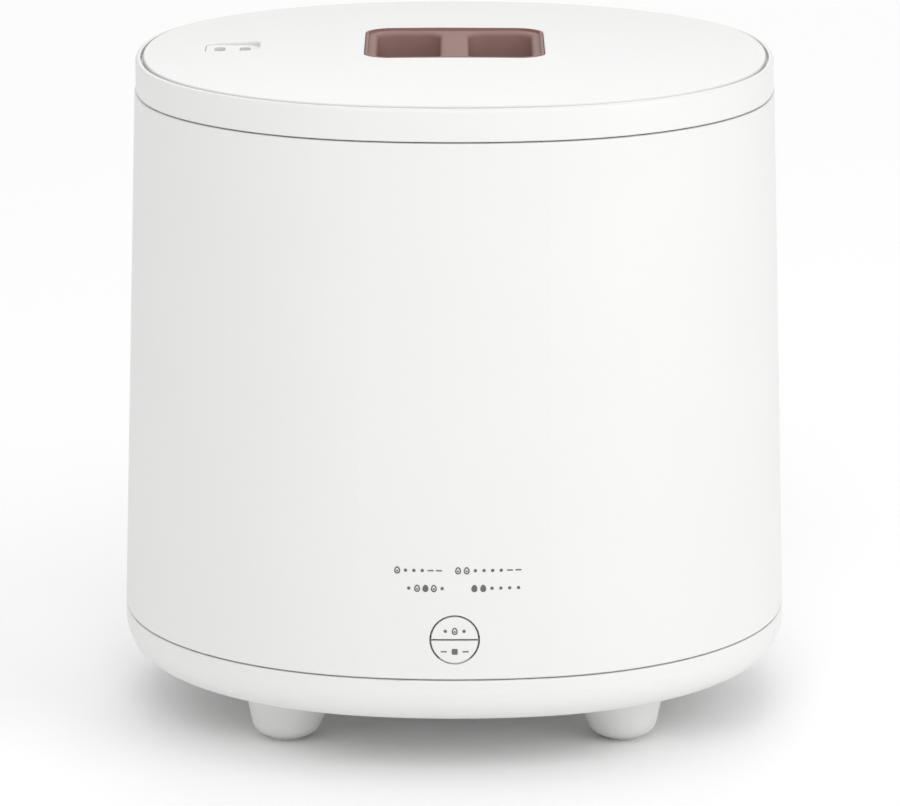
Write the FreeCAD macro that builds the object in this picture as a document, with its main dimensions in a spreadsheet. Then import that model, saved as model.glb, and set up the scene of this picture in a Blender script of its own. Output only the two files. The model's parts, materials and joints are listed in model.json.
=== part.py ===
import FreeCAD, Part
import math
import os
import re

import Sketcher
from FreeCAD import Placement, Rotation, Vector

# Egg cooker: a soft-square body on four legs, a fixed pot with a heating plate
# under it, a rack, a steaming bowl and a lift-off lid with a two-pocket grip.
# Frame: origin on the floor under the middle, +Z up, the keys face -Y.
# All sizes are in millimetres.

DRIVING = {
    # Plan: eight tangent arcs, whose centres are the same for every offset
    "side_centre": 37.5,      # centre of a side arc, behind the middle
    "corner_inset": 10.2,     # half width less the corner arc's radius
    "base_half": 87.5,        # half width at the base seam
    "body_taper": 3.9,        # how much narrower each side is at the top of the body
    "wall": 2.4,              # casing wall
    "fit": 0.3,               # gap between pieces that don't touch
    # Base and legs
    "pad_proud": 0.8,
    "pad_radius": 4.2,
    "pad_thickness": 2.4,
    "leg_height": 14.7,
    "leg_spread": 44.0,       # leg foot, from the middle, along X and Y
    "leg_lean": 1.7,          # how far in the leg's root stands from its foot
    "leg_foot_radius": 8.0,
    "leg_root_radius": 13.0,
    "leg_round": 4.8,
    "leg_blend": 1.5,
    "base_depth": 12.0,
    "base_round": 8.5,
    "slot_width": 2.2,        # air slots in the floor
    "slot_length": 26.0,
    "slot_pitch": 5.2,
    "slot_row": 33.0,
    "seam_gap": 0.4,
    "edge_round": 0.4,        # outer edges beside the seams and the groove
    "lip_height": 3.0,
    "lip_wall": 1.6,
    "lip_root": 3.0,
    # Case screws
    "case_screw_inset": 19.5, # screw line, in from the casing's widest point
    "case_screw_y": 32.0,
    "boss_radius": 5.2,
    "boss_rise": 1.5,         # base boss, above the seam
    "well_depth": 3.5,
    "screw_radius": 1.45,
    "screw_head_radius": 2.8,
    "screw_head_height": 2.0,
    "screw_bite": 8.0,
    "screw_play": 0.1,
    # Body
    "body_height": 136.5,
    "shelf_drop": 6.7,        # top of the body to the underside of the shelf
    "shelf_thickness": 2.5,
    "deck_drop": 0.3,         # top of the body to the top of the deck ring
    # Keys
    "key_radius": 5.9,
    "key_margin": 0.5,        # key guide above the bottom of the body
    "key_spread": 3.1,        # switch stems, above and below the keys' middle
    "guide_wall": 2.0,        # key guide, above and below its bore
    "guide_side": 3.0,
    "stem_radius": 1.7,
    "stem_seat": 1.8,         # stem, in front of the control board
    "switch_half": 2.9,
    "switch_depth": 3.4,
    "label_rise": 7.4,        # lower row of signs above the keys' edge
    "label_pitch": 4.6,
    "label_left": -9.2,
    "label_right": 8.45,
    "label_length": 13.4,
    "label_height": 3.2,
    "led_length": 3.2,
    "led_height": 1.5,
    "led_thickness": 1.0,
    "key_gap": 0.5,
    "key_collar": 1.4,
    "key_collar_thickness": 1.2,
    "key_travel": 0.5,
    # Pot and bowl
    "pot_bottom": 60.0,
    "pot_radius": 73.0,
    "pot_wall": 0.8,
    "pot_round": 6.0,
    "mouth_step": 3.0,        # ledge of the pot, outside its wall
    "ledge_drop": 7.0,
    "flange_width": 3.0,
    "gasket_thickness": 0.8,
    "bowl_play": 3.5,         # pot wall to the bowl's wall, at the ledge
    "bowl_slope": 19.5,       # how much narrower the bowl is at its floor
    "bowl_depth": 29.0,
    "bowl_wall": 0.8,
    "bowl_round": 8.0,
    "rim_play": 0.7,          # mouth of the pot to the bowl's rim
    # Rack
    "rack_play": 1.5,         # pot wall to the rack
    "rack_thickness": 2.0,
    "rack_rise": 11.2,
    "egg_hole_radius": 16.0,
    "egg_inset": 24.5,        # centres of the egg holes, in from the rack's edge
    "egg_chamfer": 0.9,
    "steam_hole_radius": 2.0,
    "steam_step": 23.0,       # inner steam holes, in from the egg holes' ring
    "steam_land": 6.3,        # edge of an egg hole to the outer steam holes beside it
    "rack_leg_radius": 3.0,
    "rack_leg_inset": 8.5,
    "post_radius": 4.5,
    "post_height": 30.0,
    "tab_width": 26.0,
    "tab_thickness": 5.0,
    "tab_height": 14.0,
    # Heater
    "plate_inset": 17.0,      # pot wall to the heating plate's edge
    "plate_thickness": 6.0,
    "tube_inset": 16.0,
    "tube_radius": 3.6,
    "tube_sink": 2.4,
    "tube_end": 8.0,
    "pin_radius": 1.2,
    "pin_length": 6.0,
    "sensor_radius": 5.0,
    "stud_inset": 6.0,
    "stud_end": 4.6,          # stud below the shield
    "stud_radius": 2.0,
    "spacer_length": 7.4,
    "spacer_radius": 3.4,
    "shield_margin": 4.0,     # shield outside the plate
    "shield_wall": 0.6,
    "fuse_inset": 18.0,       # thermal cut-off, in from the element
    "fuse_radius": 2.0,
    "clip_wall": 0.8,
    "clip_width": 6.0,
    "clip_tongue": 12.0,
    "shield_rim": 6.0,
    "nut_thickness": 3.2,
    "nut_across": 7.0,
    # Boards
    "board_thickness": 1.6,
    "power_length": 72.0,
    "power_width": 52.0,
    "power_x": -16.0,
    "power_y": -16.0,
    "power_rise": 6.1,        # base floor to the power board
    "power_screw_inset": 4.0,
    "board_post": 3.2,
    "control_post": 2.6,
    "port_pitch": 6.0,
    "port_row": 19.0,         # terminal block, behind the board's middle
    "terminal_width": 9.0,
    "control_width": 44.0,
    "control_height": 28.0,
    "control_depth": 11.0,    # casing's widest point to the control board
    "control_rise": 7.3,      # middle of the control board above the keys
    "control_screw_x": 18.5,
    # Appliance inlet
    "inlet_height": 44.0,
    "inlet_width": 24.6,
    "inlet_tall": 17.0,
    "inlet_depth": 16.5,
    "inlet_wall": 1.8,
    "inlet_corner": 2.5,
    "inlet_flange": 3.0,
    "inlet_plate": 1.6,
    "inlet_chamfer": 5.0,
    "blade_half_width": 1.0,
    "blade_half_tall": 2.0,
    "blade_reach": 14.0,
    "blade_offset": 2.0,      # middle blade up, outer blades down
    "inlet_setback": 2.6,     # flange face behind the casing's widest point
    "pin_pitch": 7.0,
    "blade_tail": 4.5,        # blade behind the inlet's back wall
    # Lid
    "lid_gap": 0.3,
    "lid_inset": 0.3,
    "lid_wall": 2.2,
    "lid_wall_height": 8.3,
    "lid_round": 0.9,
    "land_width": 1.3,        # the rim's top land
    "groove_width": 0.8,
    "groove_depth": 1.8,
    "lid_shelf": 1.8,
    "shelf_reach": 5.2,       # shelf under the panel's edge
    "panel_step": 0.5,        # panel edge above the rim's land
    "crown": 2.5,
    "panel_thickness": 2.2,
    "panel_rim": 7.2,
    "grip_size": 46.4,
    "grip_corner": 7.0,
    "grip_rim": 0.7,
    "grip_sink": 0.9,         # bridge and side bands, below the rim
    "grip_gap": 0.15,
    "pocket_width": 16.5,
    "pocket_length": 38.4,
    "pocket_depth": 13.2,
    "pocket_corner": 5.0,
    "bridge_width": 7.4,
    "grip_skin": 1.3,
    "vent_x": -58.0,
    "vent_size": 13.8,
    "vent_corner": 3.0,
    "vent_drop": 0.8,
    "vent_thickness": 1.4,
    "vent_slot_width": 2.9,
    "vent_slot_length": 6.2,
    "vent_slot_pitch": 3.3,
    "plug_play": 2.4,         # mouth of the pot to the lid's plug
    "plug_depth": 6.2,
    "plug_wall": 1.4,
    "plug_flange": 2.2,
    "seal_reach": 2.0,
    "seal_height": 3.0,
    "lid_screw_inset": 3.82,
}

# Levels and sizes that follow from the driving ones
DERIVED = {
    "top_half": "base_half - body_taper",
    "case_screw_x": "base_half - case_screw_inset",
    "control_setback": "base_half - control_depth",
    "mouth_radius": "pot_radius + mouth_step",
    "flange_radius": "mouth_radius + flange_width",
    "bowl_wall_radius": "pot_radius - bowl_play",
    "bowl_floor_radius": "bowl_wall_radius - bowl_slope",
    "bowl_rim": "mouth_radius - rim_play",
    "rack_radius": "pot_radius - rack_play",
    "egg_ring": "rack_radius - egg_inset",
    "rack_leg_ring": "rack_radius - rack_leg_inset",
    "steam_ring": "egg_ring - steam_step",
    "steam_reach": "egg_hole_radius + steam_land",
    "plate_radius": "pot_radius - plate_inset",
    "tube_ring": "plate_radius - tube_inset",
    "stud_ring": "plate_radius - stud_inset",
    "fuse_row": "tube_ring - fuse_inset",
    "shield_radius": "plate_radius + shield_margin",
    "lid_half": "top_half - lid_inset",
    "land_half": "lid_half - land_width",
    "lid_shelf_half": "panel_half - shelf_reach",
    "lid_screw_spread": "(lid_half - lid_screw_inset) / sqrt(2)",
    "plug_radius": "mouth_radius - plug_play",
    "belly": "pad_proud + leg_height",
    "seam": "belly + base_depth",
    "body_bottom": "seam + seam_gap",
    "body_top": "body_bottom + body_height",
    "lid_bottom": "body_top + lid_gap",
    "key_hole": "key_radius + key_gap",
    "key_height": "body_bottom + key_margin + guide_wall + key_collar + key_hole",
    "control_centre": "key_height + control_rise",
    "label_low": "key_height + key_radius + label_rise",
    "label_high": "label_low + label_pitch",
    "case_taper": "(base_half - top_half) / body_height",
    "front_face": "base_half - (key_height - body_bottom) * case_taper",
    "deck_top": "body_top - deck_drop",
    "shelf_bottom": "body_top - shelf_drop",
    "shelf_top": "shelf_bottom + shelf_thickness",
    "pot_flange": "shelf_top + gasket_thickness",
    "ledge_top": "pot_flange + pot_wall - ledge_drop",
    "rack_level": "pot_bottom + pot_wall + rack_rise",
    "plate_bottom": "pot_bottom - plate_thickness",
    "tube_level": "plate_bottom + tube_sink - tube_radius",
    "shield_level": "plate_bottom - spacer_length",
    "power_level": "belly + wall + power_rise",
    "panel_half": "land_half - groove_width",
    "panel_bottom": "lid_bottom + lid_wall_height - groove_depth",
    "panel_edge": "lid_bottom + lid_wall_height + panel_step",
    "lid_top": "panel_edge + crown",
    "dome_radius": "(panel_half ^ 2 + crown ^ 2) / (2 * crown)",
    "vent_top": "lid_top - dome_radius + sqrt(dome_radius ^ 2 - vent_x ^ 2) - vent_drop",
    "plug_bottom": "lid_bottom - plug_depth",
    "plug_flange_bottom": "lid_bottom + fit",
}

doc = FreeCAD.newDocument("EggCooker")
sheet = doc.addObject("Spreadsheet::Sheet", "Sizes")


def fill_sheet():
    """Write each driving size and its name into the sheet."""
    for row, (name, number) in enumerate(DRIVING.items(), start=1):
        sheet.set(f"A{row}", name)
        sheet.set(f"B{row}", str(number))
        sheet.setAlias(f"B{row}", name)
    doc.recompute()


def full(expression):
    """Spell out derived names, and point the driving ones at the sheet."""
    def spell(match):
        word = match.group(0)
        if word in DERIVED:
            return "(" + full(DERIVED[word]) + ")"
        return "Sizes." + word if word in DRIVING else word
    return re.sub(r"[A-Za-z_]+", spell, str(expression))


def value(expression):
    return float(sheet.evalExpression(full(expression)))


def bind(item, prop, expression):
    item.setExpression(prop, full(expression))


def place(item, x="0", y="0", z="0"):
    for axis, expression in zip("xyz", (x, y, z)):
        bind(item, "Placement.Base." + axis, expression)


# ---------------------------------------------------------------- sketches

def new_body(label):
    body = doc.addObject("PartDesign::Body", label)
    body.Label = label
    return body


def new_sketch(body, role="XY_Plane", offset="0"):
    """A sketch on one of the body's own planes, moved along its normal."""
    plane = next(f for f in body.Origin.OriginFeatures if f.Role == role)
    sketch = body.newObject("Sketcher::SketchObject", body.Label + "_sketch")
    sketch.AttachmentSupport = (plane, [""])
    sketch.MapMode = "FlatFace"
    bind(sketch, "AttachmentOffset.Base.z", offset)
    return sketch


def limit(sketch, expression, kind, *where):
    """Add a size constraint that follows the sheet."""
    index = sketch.addConstraint(Sketcher.Constraint(kind, *where, value(expression)))
    sketch.setExpression(f"Constraints[{index}]", full(expression))


def pin_point(sketch, item, end, x, y):
    """Hold a point of the sketch at x, y."""
    for expression, kind, axis in ((x, "DistanceX", -2), (y, "DistanceY", -1)):
        if expression == "0":
            sketch.addConstraint(Sketcher.Constraint("PointOnObject", item, end, axis))
        else:
            limit(sketch, expression, kind, -1, 1, item, end)


def soft_square(sketch, half):
    """The plan outline: four side arcs and four corner arcs, all tangent."""
    behind = value("side_centre")
    inset = value("corner_inset")
    width = value(half)
    middle = (math.sqrt(2 * (behind + inset) ** 2 - behind ** 2) - behind) / 2
    joint = math.atan2(middle, behind + middle)
    quarter = math.pi / 2
    arcs = []
    for turn in range(4):
        angle = turn * quarter
        spin = Rotation(Vector(0, 0, 1), math.degrees(angle))
        for centre, radius, start, end in (
                (Vector(-behind, 0, 0), width + behind, -joint, joint),
                (Vector(middle, middle, 0), width - inset, joint, quarter - joint)):
            circle = Part.Circle(spin.multVec(centre), Vector(0, 0, 1), radius)
            arc = Part.ArcOfCircle(circle, angle + start, angle + end)
            arcs.append(sketch.addGeometry(arc, False))
    for index, arc in enumerate(arcs):
        following = arcs[(index + 1) % len(arcs)]
        sketch.addConstraint(Sketcher.Constraint("Tangent", arc, 2, following, 1))
    for turn, (kind, axis) in enumerate((("DistanceX", -1), ("DistanceY", -2)) * 2):
        side = arcs[2 * turn]
        sketch.addConstraint(Sketcher.Constraint("PointOnObject", side, 3, axis))
        where = (side, 3, -1, 1) if turn < 2 else (-1, 1, side, 3)
        limit(sketch, "side_centre", kind, *where)
    limit(sketch, f"{half} + side_centre", "Radius", arcs[0])
    limit(sketch, f"{half} - corner_inset", "Radius", arcs[1])
    for index in range(2, 8):
        sketch.addConstraint(Sketcher.Constraint("Equal", arcs[index % 2], arcs[index]))


def circle(sketch, radius, x="0", y="0"):
    centre = Vector(value(x), value(y), 0)
    item = sketch.addGeometry(Part.Circle(centre, Vector(0, 0, 1), value(radius)), False)
    pin_point(sketch, item, 3, x, y)
    limit(sketch, radius, "Radius", item)


def outline(sketch, points, bends=None):
    """A closed outline; bends gives the radius of the edge after a point.

    A positive radius bows the edge to the right of the way it runs.
    """
    bends = bends or {}
    corners = [Vector(value(x), value(y), 0) for x, y in points]
    items = []
    for index, start in enumerate(corners):
        end = corners[(index + 1) % len(corners)]
        if index in bends:
            radius = value(bends[index])
            half = (end - start) * 0.5
            side = Vector(-half.y, half.x, 0).normalize()
            sign = math.copysign(1, radius)
            rise = abs(radius) - math.sqrt(radius ** 2 - half.Length ** 2)
            edge = Part.Arc(start, start + half - side * sign * rise, end)
        else:
            edge = Part.LineSegment(start, end)
        items.append(sketch.addGeometry(edge, False))
    for index, item in enumerate(items):
        following = (index + 1) % len(items)
        flipped = index in bends and value(bends[index]) < 0
        next_flipped = following in bends and value(bends[following]) < 0
        sketch.addConstraint(Sketcher.Constraint(
            "Coincident", item, 1 if flipped else 2,
            items[following], 2 if next_flipped else 1))
        pin_point(sketch, item, 2 if flipped else 1, *points[index])
    for index, radius in bends.items():
        limit(sketch, f"abs({radius})", "Radius", items[index])


def rounded(sketch, width, tall, corner, x="0", y="0"):
    """A rectangle about x, y with round corners."""
    half_w, half_t, radius = value(width) / 2, value(tall) / 2, value(corner)
    middle = Vector(value(x), value(y), 0)
    signs = ((1, 1), (-1, 1), (-1, -1), (1, -1))
    arcs, lines = [], []
    for turn, (sx, sy) in enumerate(signs):
        centre = middle + Vector(sx * (half_w - radius), sy * (half_t - radius), 0)
        ring = Part.Circle(centre, Vector(0, 0, 1), radius)
        start = turn * math.pi / 2
        arcs.append(sketch.addGeometry(Part.ArcOfCircle(ring, start, start + math.pi / 2), False))
    geometry = sketch.Geometry
    for turn, arc in enumerate(arcs):
        following = arcs[(turn + 1) % 4]
        line = Part.LineSegment(geometry[arc].EndPoint, geometry[following].StartPoint)
        lines.append(sketch.addGeometry(line, False))
        sketch.addConstraint(Sketcher.Constraint("Tangent", arc, 2, lines[-1], 1))
        sketch.addConstraint(Sketcher.Constraint("Tangent", lines[-1], 2, following, 1))
    for turn in range(1, 4):
        sketch.addConstraint(Sketcher.Constraint("Equal", arcs[0], arcs[turn]))
    sketch.addConstraint(Sketcher.Constraint("Horizontal", lines[0]))
    sketch.addConstraint(Sketcher.Constraint("Vertical", lines[1]))
    limit(sketch, corner, "Radius", arcs[0])
    right, top = f"({x}) + ({width}) / 2 - ({corner})", f"({y}) + ({tall}) / 2 - ({corner})"
    left, low = f"({x}) - ({width}) / 2 + ({corner})", f"({y}) - ({tall}) / 2 + ({corner})"
    pin_point(sketch, arcs[0], 3, right, top)
    pin_point(sketch, arcs[2], 3, left, low)


# ---------------------------------------------------------------- features

def feature(body, kind, sketch, **sizes):
    item = body.newObject("PartDesign::" + kind, body.Label + "_" + kind.lower())
    item.Profile = sketch
    for prop, expression in sizes.items():
        bind(item, prop, expression)
    return item


def pad(body, sketch, length, reverse=False):
    item = feature(body, "Pad", sketch, Length=length)
    item.Reversed = reverse
    return item


def pocket(body, sketch, length, reverse=False):
    """Cut along the side away from the sketch's normal, or along it if reversed."""
    doc.recompute()
    before = body.Shape.Volume
    item = feature(body, "Pocket", sketch, Length=length)
    item.Reversed = reverse
    doc.recompute()
    if body.Shape.Volume > before - 0.01:
        raise RuntimeError(body.Label + ": a pocket cuts nothing")
    return item


def turned(body, sketch, kind="Revolution"):
    item = body.newObject("PartDesign::" + kind, body.Label + "_" + kind.lower())
    item.Profile = sketch
    item.ReferenceAxis = (sketch, ["V_Axis"])
    item.Angle = 360
    return item


def loft(body, first, last, kind="AdditiveLoft"):
    item = body.newObject("PartDesign::" + kind, body.Label + "_loft")
    item.Profile = first
    item.Sections = [last]
    item.Ruled = True
    doc.recompute()
    return item


def round_edges(body, radius, test, kind="Fillet"):
    """Round, or chamfer, the edges that pass the test."""
    doc.recompute()
    names = [f"Edge{i + 1}" for i, edge in enumerate(body.Shape.Edges) if test(edge)]
    if not names:
        raise RuntimeError(body.Label + ": no edge to round")
    tip = body.Tip
    item = body.newObject("PartDesign::" + kind, body.Label + "_" + kind.lower())
    item.Base = (tip, names)
    bind(item, "Radius" if kind == "Fillet" else "Size", radius)
    doc.recompute()
    return item


def flat_at(edge, height, axis="z"):
    """Whether the whole edge lies at one height."""
    low = getattr(edge.BoundBox, axis.upper() + "Min")
    high = getattr(edge.BoundBox, axis.upper() + "Max")
    return abs(low - height) < 0.01 and abs(high - height) < 0.01


def reach(edge):
    """The edge's middle, as a distance from the Z axis."""
    point = edge.valueAt((edge.FirstParameter + edge.LastParameter) / 2)
    return math.hypot(point.x, point.y)


def four(x, y):
    """The four mirrored places of x, y, as expressions."""
    return [(f"{sx} * ({x})", f"{sy} * ({y})") for sx in (1, -1) for sy in (1, -1)]


# ------------------------------------------------------- Part workbench help

def primitive(kind, name, turn=None, **sizes):
    """A Part primitive; x, y and z give its place, turn its rotation."""
    item = doc.addObject("Part::" + kind, name)
    if turn:
        item.Placement = Placement(Vector(), Rotation(*turn))
    place(item, sizes.pop("x", "0"), sizes.pop("y", "0"), sizes.pop("z", "0"))
    for prop, expression in sizes.items():
        bind(item, prop, expression)
    return item


def box_between(name, low, high):
    """A box whose low corner and size come from expressions."""
    sizes = {p: f"({b}) - ({a})" for p, a, b in zip(("Length", "Width", "Height"), low, high)}
    return primitive("Box", name, x=low[0], y=low[1], z=low[2], **sizes)


def join(label, items):
    item = doc.addObject("Part::MultiFuse", label)
    item.Shapes = items
    return item


def cut(label, base, *tools):
    item = doc.addObject("Part::Cut", label)
    item.Base = base
    item.Tool = tools[0] if len(tools) == 1 else join(label + "_tools", list(tools))
    return item


def group(label, items):
    item = doc.addObject("Part::Compound", label)
    item.Links = items
    return item


UP = (Vector(0, 0, 1), 0)
DOWN = (Vector(1, 0, 0), 180)
TO_FRONT = (Vector(1, 0, 0), 90)
CROSSWISE = (Vector(0, 1, 0), 90)


def screw(name, x, y, z, turn, bite, scale="1"):
    """A pan-head screw; its head's seat is at x, y, z and it points along turn."""
    shank_way = Rotation(*turn).multVec(Vector(0, 0, 1))
    back = [f"({c}) - ({round(w, 3)}) * screw_head_height * {scale}"
            for c, w in zip((x, y, z), shank_way)]
    head = primitive("Cylinder", name + "_head", turn, x=back[0], y=back[1], z=back[2],
                     Radius=f"screw_head_radius * {scale}",
                     Height=f"screw_head_height * {scale}")
    shank = primitive("Cylinder", name + "_shank", turn, x=x, y=y, z=z,
                      Radius=f"screw_radius * {scale}", Height=bite)
    body = join(name + "_body", [head, shank])
    driver = [f"({c}) - ({round(w, 3)}) * 0.1" for c, w in zip(back, shank_way)]
    slots = []
    for index, (length, width) in enumerate(((3.2, 0.8), (0.8, 3.2))):
        slot = primitive("Box", f"{name}_slot{index}", turn, Height="screw_head_height * 0.5",
                         Length=f"{length} * {scale}", Width=f"{width} * {scale}")
        offset = Rotation(*turn).multVec(Vector(-length / 2, -width / 2, 0))
        place(slot, *[f"({c}) + ({round(o, 3)}) * {scale}" for c, o in zip(driver, offset)])
        slots.append(slot)
    return cut(name, body, *slots)


# ------------------------------------------------------------ base and legs

def base_shell():
    body = new_body("base_shell")
    place(body, z="belly")
    block = new_sketch(body)
    soft_square(block, "base_half")
    pad(body, block, "base_depth")
    for level, size in (("belly", "base_round"), ("seam", "edge_round")):
        height = value(level)
        round_edges(body, size, lambda e: flat_at(e, height))
    lip = new_sketch(body, offset="base_depth")
    soft_square(lip, "base_half - wall - fit")
    pad(body, lip, "lip_height")
    throat = new_sketch(body, offset="base_depth + lip_height")
    soft_square(throat, "base_half - wall - fit - lip_wall")
    pocket(body, throat, "lip_height + lip_root")
    cavity = new_sketch(body, offset="base_depth - lip_root")
    soft_square(cavity, "base_half - wall")
    bevel = "(base_round - wall) * 0.65"
    pocket(body, cavity, f"base_depth - lip_root - wall - {bevel}")
    floor = new_sketch(body, offset="wall")
    soft_square(floor, f"base_half - wall - {bevel}")
    above = new_sketch(body, offset=f"wall + {bevel}")
    soft_square(above, "base_half - wall")
    loft(body, floor, above, "SubtractiveLoft")
    notch = new_sketch(body, offset="base_depth + lip_height")
    rounded(notch, "2 * (key_hole + key_collar + guide_side + 2 * fit)",
            "guide_side * 4", "0.5", "0", "-(base_half - wall)")
    pocket(body, notch, "lip_height")
    for x, y in four("1", "1"):
        foot = new_sketch(body, offset="-leg_height")
        circle(foot, "leg_foot_radius", f"{x} * leg_spread", f"{y} * leg_spread")
        root = new_sketch(body, offset="wall / 2")
        spread = "(leg_spread - leg_lean)"
        circle(root, "leg_root_radius", f"{x} * {spread}", f"{y} * {spread}")
        loft(body, foot, root)
    sole, belly, near = value("pad_proud"), value("belly"), value("base_half - base_round - 3")
    round_edges(body, "leg_round", lambda e: flat_at(e, sole))
    round_edges(body, "leg_blend", lambda e: flat_at(e, belly) and reach(e) < near)
    seats = new_sketch(body, offset="-leg_height")
    for x, y in four("leg_spread", "leg_spread"):
        circle(seats, "pad_radius + fit / 3", x, y)
    pocket(body, seats, "pad_thickness - pad_proud", reverse=True)
    bosses = new_sketch(body, offset="wall / 2")
    for x, y in four("case_screw_x", "case_screw_y"):
        circle(bosses, "boss_radius", x, y)
    pad(body, bosses, "base_depth + boss_rise - wall / 2")
    wells = new_sketch(body)
    for x, y in four("case_screw_x", "case_screw_y"):
        circle(wells, "screw_head_radius + 2 * fit", x, y)
    pocket(body, wells, "well_depth", reverse=True)
    holes = new_sketch(body)
    for x, y in four("case_screw_x", "case_screw_y"):
        circle(holes, "screw_radius + screw_play + fit / 2", x, y)
    pocket(body, holes, "base_depth + boss_rise + 1", reverse=True)
    posts = new_sketch(body, offset="wall / 2")
    for x, y in power_screws():
        circle(posts, "board_post", x, y)
    pad(body, posts, "wall / 2 + power_rise")
    pilots = new_sketch(body, offset="wall + power_rise")
    for x, y in power_screws():
        circle(pilots, "screw_radius * 0.8 + screw_play / 2", x, y)
    pocket(body, pilots, "power_rise - 0.5")
    vents = new_sketch(body)
    for step in range(-3, 4):
        rounded(vents, "slot_width", "slot_length", "slot_width / 2 - 0.05",
                f"{step} * slot_pitch", "slot_row")
    pocket(body, vents, "wall + 1", reverse=True)
    return body


def power_screws():
    across = "(power_length / 2 - power_screw_inset)"
    along = "(power_width / 2 - power_screw_inset)"
    return [(f"power_x + {sx} * {across}", f"power_y + {sy} * {along}")
            for sx in (1, -1) for sy in (1, -1)]


def foot_pads():
    pads = []
    for index, (x, y) in enumerate(four("leg_spread", "leg_spread")):
        disc = primitive("Cylinder", f"pad_disc{index}", x=x, y=y,
                         Radius="pad_radius", Height="pad_thickness")
        doc.recompute()
        soft = doc.addObject("Part::Chamfer", f"pad{index}")
        soft.Base = disc
        bevel = value("pad_proud / 2")
        soft.Edges = [(n + 1, bevel, bevel) for n, e in enumerate(disc.Shape.Edges)
                      if flat_at(e, 0)]
        pads.append(soft)
    return group("foot_pads", pads)


def base_screws():
    seat = "belly + well_depth"
    bite = "base_depth + boss_rise - well_depth + screw_bite"
    return group("base_screws", [
        screw(f"base_screw{i}", x, y, seat, UP, bite)
        for i, (x, y) in enumerate(four("case_screw_x", "case_screw_y"))])


# -------------------------------------------------------------- body casing

def body_shell():
    body = new_body("body_shell")
    place(body, z="body_bottom")
    for inset, kind in (("0", "AdditiveLoft"), ("wall", "SubtractiveLoft")):
        low = new_sketch(body)
        soft_square(low, f"base_half - {inset}")
        high = new_sketch(body, offset="body_height")
        soft_square(high, f"top_half - {inset}")
        loft(body, low, high, kind)
    for level, half in (("body_bottom", "base_half"), ("body_top", "top_half")):
        height, near = value(level), value(f"{half} - wall / 2")
        round_edges(body, "edge_round", lambda e: flat_at(e, height) and reach(e) > near)
    shelf = new_sketch(body, offset="body_height - shelf_drop")
    soft_square(shelf, "top_half - wall / 2")
    circle(shelf, "mouth_radius + pot_wall + fit")
    pad(body, shelf, "shelf_thickness")
    keyhole = new_sketch(body, "XZ_Plane", "base_half + 1")
    circle(keyhole, "key_hole", "0", "key_height - body_bottom")
    pocket(body, keyhole, "wall + 4")
    opening = new_sketch(body, "XZ_Plane", "-(base_half + 1)")
    rounded(opening, "inlet_width + 2 * inlet_wall + 2 * inlet_flange + 2 * fit",
            "inlet_tall + 2 * inlet_wall + 2 * fit + 2", "inlet_corner",
            "0", "inlet_height - body_bottom")
    pocket(body, opening, "wall + inlet_setback + 3", reverse=True)
    frame = new_sketch(body, "XZ_Plane", "-(base_half - inlet_setback - inlet_plate)")
    rounded(frame, "inlet_width + 2 * inlet_wall + 2 * inlet_flange + 6",
            "inlet_tall + 2 * inlet_wall + 5", "inlet_corner + 1.5",
            "0", "inlet_height - body_bottom")
    rounded(frame, "inlet_width + 2 * inlet_wall + 2 * fit",
            "inlet_tall + 2 * inlet_wall + 2 * fit", "inlet_corner",
            "0", "inlet_height - body_bottom")
    pad(body, frame, "inlet_plate + fit + 0.1")
    start = "boss_rise - seam_gap + fit"
    bosses = new_sketch(body, offset=start)
    for x, y in four("case_screw_x", "case_screw_y"):
        circle(bosses, "boss_radius - 1", x, y)
    pad(body, bosses, "screw_bite + 4")
    clear_of_lip = "lip_height - seam_gap + fit"
    ribs = new_sketch(body, offset=clear_of_lip)
    for x, y in four("1", "case_screw_y"):
        rounded(ribs, "base_half - wall / 2 - case_screw_x - 4", "2", "0.4",
                f"({x}) * (base_half - wall / 2 - 4 + case_screw_x) / 2", y)
    pad(body, ribs, f"{start} + screw_bite + 4 - ({clear_of_lip})")
    pilots = new_sketch(body, offset=start)
    for x, y in four("case_screw_x", "case_screw_y"):
        circle(pilots, "screw_radius + screw_play / 2", x, y)
    pocket(body, pilots, "screw_bite + 1", reverse=True)
    posts = new_sketch(body, "XZ_Plane", "control_setback")
    for side in (1, -1):
        circle(posts, "control_post", f"{side} * control_screw_x", "control_centre - body_bottom")
    pad(body, posts, "base_half - wall / 2 - 2 - control_setback")
    pilots = new_sketch(body, "XZ_Plane", "control_setback")
    for side in (1, -1):
        circle(pilots, "screw_radius * 0.8 + screw_play / 2",
               f"{side} * control_screw_x", "control_centre - body_bottom")
    pocket(body, pilots, "5.5", reverse=True)
    return body


def body_deck():
    """The ring between the casing and the pot's mouth."""
    body = new_body("body_deck")
    place(body, z="pot_flange + pot_wall")
    ring = new_sketch(body)
    soft_square(ring, "top_half - wall - fit")
    circle(ring, "mouth_radius")
    pad(body, ring, "deck_top - pot_flange - pot_wall")
    return body


def pot_gasket():
    body = new_body("pot_gasket")
    place(body, z="shelf_top")
    ring = new_sketch(body)
    circle(ring, "flange_radius")
    circle(ring, "mouth_radius + pot_wall + 2 * fit")
    pad(body, ring, "gasket_thickness")
    return body


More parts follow.
